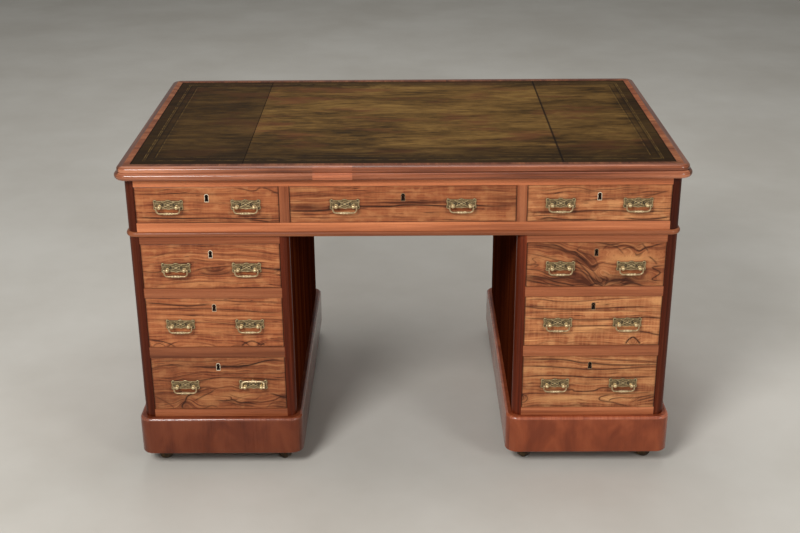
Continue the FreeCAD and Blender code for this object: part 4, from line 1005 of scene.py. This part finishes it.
# Each front's own figure, in millimetres from its middle. A vein is a strength and then across and up of every
# point that it runs through, a knot is (across, up, half width, half height, lift), and smoke is the same with a
# share for the lift. A wave is (height, length, phase)
figures = {
    "friezeLeft": {
        "place": 100, "rim": 1.0, "tone": 1.0, "waves": ((0.8, 180, 0.1), (0.4, 46, 0.4)),
        "veins": (
            (0.6, -162, 27, -120, 26, -80, 27, -40, 28, 0, 26, 60, 27),
            (0.4, -20, 7, 10, 6, 45, 4, 60, 1),
            (0.5, -135, -18, -60, -22, 0, -21, 60, -22, 110, -24, 162, -23),
            (0.9, -162, -29, -100, -31, -40, -32, 20, -31, 80, -33, 150, -31),
            (0.4, -150, -36, -60, -37, 20, -36, 90, -38),
            (0.6, -162, -43, -60, -42, 20, -41, 90, -42),
            (0.8, 90, -35, 120, -38, 142, -42, 162, -41),
            (0.7, 62, 41, 85, 37, 100, 33, 111, 34, 118, 39, 124, 42),
            (0.7, 125, 42, 140, 37, 151, 31, 162, 26),
        ),
        "smoke": ((-140, 34, 30, 7, 0.25), (140, -39, 24, 4, 0.5), (0, 14, 60, 8, -0.2)),
    },
    "friezeCentre": {
        "place": 900, "tone": 0.94, "waves": ((1.2, 260, 0.1), (0.5, 60, 0.4)),
        "veins": (
            (1.0, -255, -14, -230, -15, -200, -15, -172, -13, -158, -8, -130, -6, -90, -5, -30, -5, 0, -2, 40, -2,
             90, -5, 110, -6, 160, -4, 200, -6, 255, -6),
            (0.6, 8, 7, 40, 5, 75, 6, 100, 7),
            (0.35, -110, 24, -60, 28, 0, 27, 70, 29),
            (0.4, -230, -30, -150, -33, -60, -30, 30, -33),
            (0.6, 90, -37, 150, -41, 220, -42, 255, -41),
            (0.4, -255, 22, -210, 24, -180, 26, -140, 22),
        ),
        "smoke": (
            (-212, -4, 56, 14, 0.95), (-190, 20, 36, 8, 0.5), (-15, 3, 56, 8, 1.0), (40, 5, 50, 5, 0.7),
            (228, 12, 44, 24, 0.7), (180, 33, 46, 7, 0.45), (-225, 35, 50, 5, -0.5), (60, -24, 90, 8, -0.25),
        ),
    },
    "friezeRight": {
        "place": 1700, "rim": 1.0, "tone": 1.19, "straw": 0.85, "waves": ((0.9, 200, 0.1), (0.5, 50, 0.4)),
        "veins": (
            (0.6, -145, 34, -120, 31, -95, 34, -70, 38, -42, 36, -20, 30, 0, 32, 30, 33, 60, 37, 110, 39),
            (0.35, -162, 12, -130, 10, -100, 12),
            (0.6, -45, 5, -20, 7, 0, 9, 35, 12, 60, 12),
            (0.7, 96, 13, 115, 18, 135, 24, 152, 28),
            (0.8, -162, -20, -130, -21, -60, -20, -30, -18, 0, -17, 60, -19, 110, -20, 150, -18),
            (0.9, -134, -38, -112, -34, -90, -37, -50, -39, 0, -38),
            (0.9, 60, -36, 100, -39, 135, -37, 162, -32),
            (0.5, -162, -43, -60, -42, 20, -41, 100, -43, 150, -41),
            (0.35, -162, -29, -60, -28, 20, -30, 100, -28, 162, -26),
        ),
        "smoke": ((-112, -38, 24, 4, 0.6), (130, -39, 30, 4, 0.6), (-35, -19, 24, 4, 0.6), (90, -10, 60, 14, -0.35)),
    },
    "leftTop": {
        "place": 2500, "rim": 1.0, "tone": 1.02, "waves": ((1.2, 150, 0.1), (0.8, 52, 0.4)),
        "veins": (
            (0.5, -162, 24, -140, 22, -110, 30, -70, 34, -30, 33, 10, 31, 60, 28, 110, 22, 162, 12),
            (0.6, 60, 40, 100, 37, 130, 32, 162, 28),
            (0.4, -162, 44, -110, 46, -40, 50, 30, 48, 100, 46, 162, 42),
            (0.5, -162, 5, -120, 8, -60, 14, 0, 12, 60, 10, 120, 4),
            (0.8, -162, -12, -130, -14, -112, -12),
            (0.7, -42, -12, -20, -5, 8, -3, 30, 0, 48, 1),
            (0.7, -28, -15, -5, -20, 22, -19, 45, -14),
            (0.9, 108, -3, 130, -6, 150, -8, 162, -8),
            (0.6, 100, -14, 130, -16, 150, -20, 162, -24),
            (0.5, -162, -46, -100, -44, -60, -40, 0, -37, 60, -42, 162, -40),
            (0.7, 55, -54, 100, -53, 150, -54),
        ),
        "knots": ((8, -11, 26, 8, 9), (158, -8, 16, 8, -10)),
        "smoke": (
            (8, -11, 30, 8, 1.0), (156, -8, 14, 5, 1.5), (-72, -33, 20, 5, 0.8), (-110, -10, 18, 5, 0.5),
            (60, 26, 50, 4, 0.4), (-40, -44, 60, 7, -0.35), (0, 48, 90, 6, 0.2),
        ),
    },
    "leftMiddle": {
        "place": 3300, "rim": 0.7, "tone": 1.06, "waves": ((0.8, 200, 0.1), (0.4, 50, 0.4)),
        "veins": (
            (0.9, -162, 52, -130, 50, -90, 46, -55, 44, -30, 46, -8, 48),
            (0.8, -162, 36, -100, 37, -40, 37, 0, 36, 60, 32, 110, 27, 162, 24),
            (0.7, -25, 58, 30, 57, 60, 54, 120, 53, 162, 51),
            (0.5, -162, 25, -100, 22, 0, 19, 100, 17, 162, 14),
            (0.55, -162, 10, -120, 8, -50, 3, 0, 1, 50, -4, 110, 0, 162, -2),
            (0.6, 110, 9, 140, 8, 162, 6),
            (0.35, -140, -30, -60, -31, 0, -34, 60, -33, 120, -30, 162, -30),
            (0.8, -162, -41, -140, -45, -120, -50, -106, -56, -98, -63),
            (0.6, -151, -62, -145, -56, -136, -53, -126, -56, -120, -62),
            (0.4, -90, -48, -40, -51, -12, -57, 0, -63),
            (0.95, 58, -62, 63, -56, 72, -51, 84, -48, 96, -52, 103, -57, 109, -55, 114, -61),
            (0.5, 34, -63, 42, -60, 58, -60),
            (0.6, 60, -62, 110, -62, 162, -61),
        ),
        "knots": ((86, -64, 26, 14, 14), (-136, -66, 30, 20, 14)),
        "smoke": ((-90, 47, 60, 3.5, 0.5), (140, 28, 30, 5, 0.35), (-20, -20, 70, 10, -0.25), (0, 26, 120, 4, -0.2)),
    },
    "leftBottom": {
        "place": 4100, "rim": 0.9, "tone": 0.8, "waves": ((1.6, 150, 0.1), (1.2, 50, 0.4)),
        "veins": (
            (1.0, -66, 46, -30, 44, 0, 44, 30, 45, 52, 46, 80, 50, 102, 57, 130, 62, 162, 58),
            (0.8, 5, 48, 25, 45, 45, 43, 60, 44),
            (0.6, -162, 40, -140, 46, -112, 50, -80, 47),
            (0.5, -140, 62, -90, 60, -40, 58, 20, 62),
            (0.6, -162, 19, -130, 15, -100, 18, -62, 26, -30, 30, 0, 28, 60, 26, 140, 27, 162, 30),
            (0.8, -58, 6, -40, 9, -24, 12, 0, 16, 40, 15, 90, 13, 130, 10, 162, 8),
            (0.6, -46, -20, -26, -14, 0, -12, 30, -9, 52, -16),
            (0.9, -90, -68, -93, -60, -84, -46, -80, -36, -68, -28, -48, -21),
            (0.7, -66, -48, -48, -38, -34, -30, -22, -24, -12, -16),
            (0.9, -12, -45, 10, -47, 30, -45, 45, -52, 66, -52, 84, -56),
            (0.7, 22, -50, 40, -58, 62, -60, 80, -62),
            (0.5, 96, -34, 82, -44, 60, -42, 36, -36, 20, -28),
            (0.9, 120, -27, 138, -33, 152, -38, 162, -36),
            (0.5, -162, -30, -140, -44, -120, -58, -112, -69),
            (0.6, -70, -66, -44, -68, -22, -60, -6, -66),
            (0.5, 110, -66, 126, -52, 146, -50, 162, -56),
        ),
        "knots": (
            (30, -45, 14, 9, 16), (-86, -50, 24, 22, -18), (20, -20, 40, 14, 12), (150, -40, 18, 14, -14),
            (-30, -52, 26, 12, 10),
        ),
        "smoke": (
            (-88, -52, 18, 16, 0.9), (152, -38, 14, 9, 1.3), (146, -60, 20, 10, 1.0), (15, 46, 50, 5, 0.9),
            (28, -46, 14, 5, 1.2), (-45, 5, 22, 8, 0.6), (44, -31, 44, 8, -0.7), (-24, -54, 20, 7, -0.5),
            (-140, -30, 30, 26, 0.5), (80, -52, 30, 7, 0.7), (0, 56, 150, 9, 0.3), (110, 40, 60, 8, 0.3),
            (-62, -34, 30, 9, -0.35), (-40, -24, 22, 7, 0.5), (100, 8, 40, 6, 0.4), (-110, 40, 60, 12, 0.25),
        ),
    },
    "rightTop": {
        "place": 4900, "tone": 0.96, "straw": 0.15, "waves": ((2.0, 150, 0.1), (1.4, 50, 0.4)),
        "veins": (
            (0.6, -162, 52, -120, 46, -80, 36, -50, 25, -34, 14, -16, -4, 4, -28, 16, -46),
            (0.6, -162, 30, -125, 22, -92, 12, -52, 0, -26, -20, -4, -38, 8, -50),
            (0.9, -162, -25, -120, -32, -92, -42, -62, -49, -40, -56),
            (0.7, -162, -10, -130, -14, -104, -24, -66, -32, -30, -40),
            (0.6, -150, 2, -132, 0, -142, -6),
            (0.8, -110, 54, -84, 44, -66, 33, -48, 30, -36, 18, -20, 8),
            (0.9, -14, -56, -6, -50, 6, -47, 14, -51, 22, -56),
            (0.9, 20, -56, 30, -44, 48, -38, 70, -40, 96, -48, 118, -56),
            (0.6, 36, -52, 56, -46, 80, -50),
            (0.7, -2, 55, 24, 50, 46, 42, 56, 33, 62, 26),
            (0.6, 26, 46, 38, 50, 52, 49),
            (0.7, 58, 37, 70, 42, 82, 41),
            (0.8, 88, 38, 98, 33, 106, 38, 124, 44, 150, 52),
            (0.7, 120, 20, 132, 10, 140, 0),
            (0.8, 154, -3, 130, -8, 149, -21, 131, -38, 158, -42),
            (0.6, -36, 46, -44, 36, -30, 28, -14, 24, 0, 10, 6, -8),
            (0.5, 16, -16, 34, -26, 60, -30, 90, -30),
            (0.8, -20, -22, -6, -34, 8, -44, 22, -50),
            (0.7, -52, 18, -38, 4, -24, -12, -12, -26),
            (0.7, 6, -30, 22, -38, 44, -42, 70, -36),
            (0.8, -162, -36, -130, -44, -104, -48, -70, -54),
            (0.5, 14, 36, 20, 44, 30, 50),
            (0.7, 102, 52, 112, 40, 118, 32),
        ),
        "knots": ((6, -52, 22, 16, 18), (98, 37, 18, 10, 9), (90, 10, 50, 18, 8), (-6, -4, 12, 12, 14)),
        "smoke": (
            (-30, 8, 26, 24, 1.1), (-2, -5, 9, 7, 1.1), (30, -38, 46, 14, 1.4), (-14, -44, 34, 11, 1.1),
            (94, 42, 22, 6, 1.0), (70, -38, 48, 10, 2.2), (-110, -34, 52, 7, 0.95), (-110, 48, 46, 8, 0.85),
            (36, 48, 46, 9, 0.9), (80, 13, 52, 12, -1.0), (-110, 14, 34, 8, -0.5), (-60, -44, 80, 16, 0.3),
            (110, -20, 40, 12, 0.25), (-72, 34, 36, 9, 0.6), (-18, -22, 20, 12, 0.6), (-58, -16, 22, 12, 0.5),
            (140, -6, 16, 12, 0.4), (150, 40, 26, 8, 0.4), (-60, 50, 10, 12, -0.5), (150, -52, 20, 8, -0.3),
        ),
    },
    "rightMiddle": {
        "place": 5700, "tone": 1.27, "straw": 0.85, "ripple": 0.18, "waves": ((0.8, 200, 0.1), (0.4, 50, 0.4)),
        "veins": (
            (0.7, -162, 55, -125, 57, -95, 52, -60, 50, -20, 52, 10, 55, 50, 57, 110, 59),
            (0.85, -162, 38, -142, 36, -120, 33, -70, 31, -20, 31, 40, 34, 100, 36, 162, 34),
            (0.6, -162, 23, -100, 25, 0, 27, 80, 26, 162, 22),
            (0.85, -162, 10, -135, 7, -60, 5, 0, 3, 60, 5, 120, 10, 140, 9, 162, 6),
            (0.8, -62, -13, -30, -13, 0, -12, 55, -12),
            (0.3, -162, -29, -80, -31, 0, -29, 70, -27),
            (0.9, 108, -27, 130, -30, 145, -34, 162, -37),
            (1.0, 80, -62, 84, -53, 91, -45, 98, -42, 105, -47, 112, -55, 116, -62),
            (0.5, -130, -62, -110, -54, -86, -52, -60, -56, -20, -53, 30, -55, 70, -60),
            (0.6, 70, -62, 120, -62, 162, -61),
        ),
        "knots": ((98, -62, 16, 14, 16),),
        "smoke": (
            (-148, 37, 18, 4, 0.6), (150, 22, 18, 9, 0.35), (144, 8, 20, 3, 0.7), (98, -60, 12, 8, 0.3),
            (0, 44, 90, 5, -0.4), (-30, -20, 80, 12, -0.4), (150, 50, 30, 8, -0.3),
        ),
    },
    "rightBottom": {
        "place": 6500, "tone": 1.1, "straw": 0.9, "ripple": 0.12, "waves": ((0.9, 150, 0.1), (0.5, 50, 0.4)),
        "veins": (
            (0.9, -162, 60, -110, 61, -70, 60, -48, 57, -22, 51, 0, 50, 40, 46, 100, 44, 162, 46),
            (0.7, -20, 64, 60, 58, 120, 54, 162, 52),
            (0.85, -162, 42, -120, 42, -60, 38, -20, 34, 0, 33, 60, 34, 120, 38, 162, 40),
            (0.85, -162, 13, -120, 17, -90, 17, -40, 15, 0, 12, 50, 11, 120, 12, 162, 14),
            (0.35, -40, -2, 0, -5, 60, -3),
            (0.5, -162, -18, -135, -19, -115, -21),
            (0.85, -52, -22, -38, -21, -33, -25, -12, -26, 14, -24, 25, -18, 38, -16, 58, -18),
            (0.6, -66, -31, -20, -34, 50, -33, 100, -32, 130, -30, 162, -27),
            (0.7, -162, -34, -150, -36, -145, -43, -149, -52, -162, -57),
            (0.8, 62, -35, 42, -37, 28, -43, 30, -50, 48, -54, 60, -56, 80, -62, 104, -68),
            (0.7, 50, -55, 56, -47, 80, -43, 108, -44, 136, -40, 162, -32),
            (0.8, 118, -52, 140, -46, 162, -40),
            (0.6, -158, -68, -112, -62, -60, -65, -24, -62, 0, -66),
        ),
        "knots": ((90, -54, 44, 14, 14), (-162, -46, 18, 12, 14)),
        "smoke": (
            (-110, 60, 50, 4, 0.4), (150, -36, 22, 7, 0.5), (156, -62, 14, 7, 0.6), (-60, -44, 60, 8, -0.6),
            (50, -44, 18, 6, -0.5), (-20, 4, 90, 5, -0.2), (90, 26, 60, 5, -0.3),
        ),
    },
}
places = {}                                  # of each drawer's fittings: middle, keyhole's and handles' height
for key, (name, (left, right), (low, high), tails, (keyDrop, handleDrop, handleAt)) in drawers.items():
    middle, gap = (left + right) / 2, drawerSizes["gap"]
    keyLevel, handleLevel = high - keyDrop, (low + high) / 2 - handleDrop
    places[key] = (middle, keyLevel, handleLevel)
    span = ((left + gap, right - gap), (low + gap, high - gap))
    handles = [(sign * handleAt, -handleDrop) for sign in (-1, 1)]
    front = drawerFront(span, (middle, keyLevel), handles, figures[key])
    piece(key + "Front", name, [front], [veneer, liningStock, keyholeShade], [name])
    box = drawerBox(span[0], low, high - low, tails)
    piece(key + "Box", name, box, [liningStock])
print("drawers done")


# Brasses: cast plates with posts, nuts behind the front, locks, inset escutcheons, and the swinging bails

plate = {
    "half": 34.0, "rise": 16.0, "fall": 9.0, "roundel": 4.5, "crest": 11.0, "fieldHigh": 13.6, "fieldLow": -6.6,
    "foot": 7.8, "cell": 0.55, "rim": 0.25, "base": 0.7, "relief": 1.1, "bevel": 0.7, "waist": 0.035, "middle": 3.5,
}
brassPost = {
    "at": 19.4, "reach": 9.5, "head": 4.6, "neck": 2.6, "flange": 4.6, "nut": 7.0, "nutDeep": 3.0, "bolt": 2.2,
}
lockCase = {
    "half": 25.0, "rise": 18.0, "fall": 15.0, "deep": 9.0, "proud": 0.4,
    "boltHalf": 8.0, "boltThick": 2.0, "boltFoot": 1.0, "boltProud": 0.3,
}
bail = {
    "arm": 26.4, "drop": 14.5, "corner": 8.0, "wire": 1.75, "elbow": 1.8, "boss": 2.8, "pin": 20.5, "raised": -193.0,
    "sides": 14,
}
beads = {"reach": 10.2, "pitch": 3.4, "swell": 1.25}


# The plate's cast pattern, 0 to 1: a rim bead, rings round the posts, ringed corners, a saltire with a lozenge
# and boss in the middle, leaf scrolls beyond the posts and flutes along the crest
def castPattern(u, w, edge):
    side = np.abs(u)
    level = w - plate["middle"]
    corner = np.hypot(side - 29.0, np.abs(level) - 7.6)
    toPost = np.hypot(side - brassPost["at"], w)
    strap = np.minimum(np.abs(level - side * 0.5), np.abs(level + side * 0.5))
    lozenge = side / 10.0 + np.abs(level) / 7.0
    swirl = np.hypot(side - 26.0, level + 1.0)
    turn = np.arctan2(level + 1.0, side - 26.0)
    scroll = np.cos(swirl * 2.1 - turn * 2.0) * ridge(swirl - 5.0, 3.5)
    flutes = np.cos(side * 2 * np.pi / 3.3) * ridge(edge - 2.6, 1.2) * (side < 24)
    height = 0.30 + 0.55 * ridge(edge - 1.1, 0.7)
    for form in (
        0.7 * ridge(toPost - 6.4, 0.9),
        0.75 * ridge(corner - 3.0, 0.8), 0.8 * ridge(corner, 1.1),
        0.85 * ridge(strap, 0.9) * (side < 15), 0.7 * ridge(lozenge - 1.0, 0.13), ridge(np.hypot(u, level), 2.4),
        0.35 + 0.4 * scroll * (side > 20), 0.25 + 0.4 * flutes,
    ):
        height = np.maximum(height, form)
    pits = np.maximum(ridge(corner - 1.7, 0.6), ridge(toPost - 4.9, 0.9))
    pits = np.maximum(pits, ridge(np.hypot(side - 5.2, level), 1.3) * 0.9)
    pits = np.maximum(pits, ridge(np.hypot(side - 12.5, np.abs(level) - 1.4), 1.6) * 0.8)
    return np.clip(height - 0.55 * pits, 0.02, 1.0)


# A handle plate about its pivot: columns run between the upper and lower outlines, both round-cornered
def handlePlate(x, z):
    half, roundel = plate["half"], plate["roundel"]
    u = np.linspace(-half, half, round(2 * half / plate["cell"]) + 1)
    beyond = np.clip(np.abs(u) - (half - roundel), -roundel, roundel)
    circle = np.sqrt(roundel ** 2 - beyond ** 2)
    dome = np.sqrt(np.maximum(plate["crest"] ** 2 - u ** 2, 0)) - plate["crest"]
    within = np.abs(u) < half - roundel
    upper = np.maximum(plate["rise"] - roundel + circle, np.where(within, plate["fieldHigh"], -99))
    upper = np.maximum(upper, np.where(np.abs(u) < plate["crest"], plate["rise"] + dome, -99))
    lower = np.minimum(-plate["fall"] + roundel - circle, np.where(within, plate["fieldLow"], 99))
    lower = np.minimum(lower, np.where(np.abs(u) < plate["crest"], -plate["foot"] - dome, 99))
    share = np.linspace(0, 1, round((plate["rise"] + plate["fall"]) / plate["cell"]) + 1)[:, None]
    w = lower + share * (upper - lower)
    u = np.broadcast_to(u, w.shape)
    edge = np.minimum(np.minimum(upper - w, w - lower), half - np.abs(u))
    height = castPattern(u, w, edge)
    raised = np.sin(np.minimum(edge / plate["bevel"], 1) * np.pi / 2)
    y = frontPlane - plate["rim"] - (plate["base"] + plate["relief"] * height - plate["rim"]) * raised
    waisted = u * (1 - plate["waist"] * ridge(w - plate["middle"], 4.0))
    made = slab(np.stack([x + waisted, y, z + w], -1), 1, frontPlane)
    return rubbed(made, (height * raised).ravel())


# One ball-headed post with its flange, and the round nut and bolt end behind the front
def brassPostShapes(x, z):
    size = brassPost
    ball = arc((-size["reach"], 0.0), size["head"], 180, 34, 12)
    foot = [(-4.6, size["neck"]), (-3.0, size["neck"]), (-2.6, size["flange"]), (-1.9, size["flange"]), (-0.6, 4.0)]
    rear = drawerSizes["front"]
    nut = [(rear, 6.4), (rear + 0.5, size["nut"]), (rear + size["nutDeep"] - 0.6, size["nut"])]
    nut += [(rear + size["nutDeep"], 6.2), (rear + size["nutDeep"], size["bolt"]), (rear + 3.5, size["bolt"] - 0.6)]
    return [
        rubbed(turned(np.vstack([ball, foot]), (x, frontPlane, z), "y", 24), 0.95),
        rubbed(turned(nut, (x, frontPlane, z), "y", 24), 0.45),
    ]


# The escutcheon: a ring between its own outline and the keyhole's, with a raised bright rim and a near-black inner
# slope that is partly painted shade
def escutcheonRing(x, z, shine):
    angle = np.radians(np.linspace(0, 360, 72, endpoint=False)) + 0.01
    size = escutcheon
    outer = keyReach(angle, size["head"], size["rise"], size["half"], size["drop"], keyhole["hub"])
    inner = np.minimum(holeReach(angle), outer - escutcheon["ring"])
    rows, worn, top = [], [], size["proud"]
    for reach, proud, share in (
        (outer, -0.8, 0.3), (outer, 0.15, shine), (outer - 0.3, top, shine), (outer - 1.25, top, shine),
        (outer - 1.6, 0.2, 0.3), (inner + 0.3, 0.15, 0.1), (inner, -0.1, 0.1), (inner, -0.8, 0.0),
    ):
        level = z + keyhole["hub"] + reach * np.sin(angle)
        rows.append(np.stack([x + reach * np.cos(angle), np.full(len(angle), frontPlane - proud), level], -1))
        worn.append(np.full(len(angle), share))
    made = rubbed(shell(np.array(rows), ring=True), np.concatenate(worn))
    return made | {"patch": [2] * (4 * len(angle)) + [1] * (4 * len(angle))}


# A bail about its pivot: pins, elbows, arms, rounded corners and a swelling bar with beads, all one wire
def bailShape(x, z, angle, shine):
    size = bail
    arm, drop, corner, elbow = size["arm"], size["drop"], size["corner"], size["elbow"]
    reach = arm - corner
    barAcross = np.linspace(-reach, reach, 121)[1:-1]
    path = np.vstack([
        [(-size["pin"], 0.0), (-size["pin"] - 1.4, 0.0)],
        arc((elbow - arm, -elbow), elbow, 90, 180, 6),
        [(-arm, -5.5)],
        arc((-reach, corner - drop), corner, 180, 270, 14),
    ])
    bar = np.stack([barAcross, np.full(len(barAcross), -drop)], -1)
    path = np.vstack([path, bar, path[::-1] * (-1, 1)])
    beaded = (np.abs(path[:, 0]) < beads["reach"]) & (path[:, 1] < 0.1 - drop)
    lobes = np.sqrt(np.abs(np.cos(path[:, 0] * np.pi / beads["pitch"])))
    swelling = 0.35 * ridge(path[:, 0], 13.0) * (path[:, 1] < 0.1 - drop)
    radius = size["wire"] + swelling + np.where(beaded, beads["swell"] * (lobes - 0.25), 0)
    spread = np.zeros((len(path), 3))
    spread[:, [0, 2]] = path
    shares = np.clip(shine + np.where(beaded, 0.5 * (lobes - 0.5), 0), 0, 1)
    shapes = [rubbed(bent(spread, radius, (0.0, 1.0, 0.0), bail["sides"]), np.repeat(shares, bail["sides"]))]
    boss = [(-1.9, 1.6), (-1.6, 2.4), (-0.6, size["boss"]), (0.9, size["boss"]), (1.8, 2.2), (2.1, 1.2)]
    for side in (-1, 1):
        shapes.append(rubbed(turned(boss, (arm * side, 0, 0), "x"), shine))
    turn = math.radians(angle)
    for shape in shapes:
        local = shape["points"]
        y = local[:, 1] * math.cos(turn) - local[:, 2] * math.sin(turn)
        up = local[:, 1] * math.sin(turn) + local[:, 2] * math.cos(turn)
        shape["points"] = np.stack([local[:, 0] + x, y + frontPlane - brassPost["reach"], up + z], -1)
    return shapes


for key, (name, *_, (_, _, handleAt)) in drawers.items():
    middle, keyLevel, handleLevel = places[key]
    shapes = [escutcheonRing(middle, keyLevel, figures[key].get("rim", 0.45))]
    size, rear = lockCase, frontPlane + drawerSizes["front"]
    lockHead, core = keyLevel + size["rise"], rear - size["deep"] / 2
    caseDeep = (rear - size["deep"], rear + size["proud"])
    boltDeep = (core - size["boltThick"], core + size["boltThick"])
    for half, deep, up, arris, worn in (
        (size["half"], caseDeep, (keyLevel - size["fall"], lockHead), 0.6, 0.35),
        (size["boltHalf"], boltDeep, (keyLevel + size["boltFoot"], lockHead + size["boltProud"]), 0.3, 0.5),
    ):
        shapes.append(rubbed(board(((middle - half, middle + half), deep, up), "x", arris), worn))
    for sign, side in ((-1, "Left"), (1, "Right")):
        x = middle + sign * handleAt
        shapes.append(handlePlate(x, handleLevel))
        for postAt in (-brassPost["at"], brassPost["at"]):
            shapes += brassPostShapes(x + postAt, handleLevel)
        node = f"{name}_{side.lower()}_bail"
        # The raised bail takes a higher shine than the hanging ones: a painted highlight, for how it catches the
        # light
        angle, shine = (bail["raised"], 0.95) if key == "leftBottom" and sign > 0 else (0.0, 0.6)
        wire = bailShape(x, handleLevel, angle, shine)
        piece(f"{key}{side}Bail", node, wire, [bailBrass], [node], 40.0)
    finishes = [handleBrass, keyholeShade, rimBrass]
    piece(key + "Brasses", name, shapes, finishes, [name + "_brasses"], 40.0)
print("brasses done")


# Castors: forks, wheels and plates keep their own shapes, with a dark bronze skin

# Dull dark bronze, lighter where noise says that it was rubbed
def castorBronze(dark, skin, bright):
    finish = Finish("castorBronze")
    place = finish.node("ShaderNodeTexCoord", out="Object")
    spots = finish.noise(place, (160, 160, 160), 5.0, 0.65)
    wear = finish.noise(place, (45, 45, 45), 3.0, 0.5)
    share = spots * 0.5 + wear * 0.5
    return finish.close(
        Base_Color=finish.ramp(share, (0.4, dark), (0.52, skin), (0.66, bright)),
        Metallic=finish.fade(share, 0.40, 0.60) * 0.7,
        Roughness=0.66 - finish.fade(share, 0.45, 0.65) * 0.25,
        Normal=finish.bump(spots, 0.0003),
    )


bronze = castorBronze(paint(34, 25, 17), paint(74, 57, 36), paint(124, 100, 66))
for name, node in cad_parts.items():
    if name.endswith(("_fork", "_wheel", "castor_plates")):
        node.data.materials.clear()
        node.data.materials.append(bronze)
print("castors done")
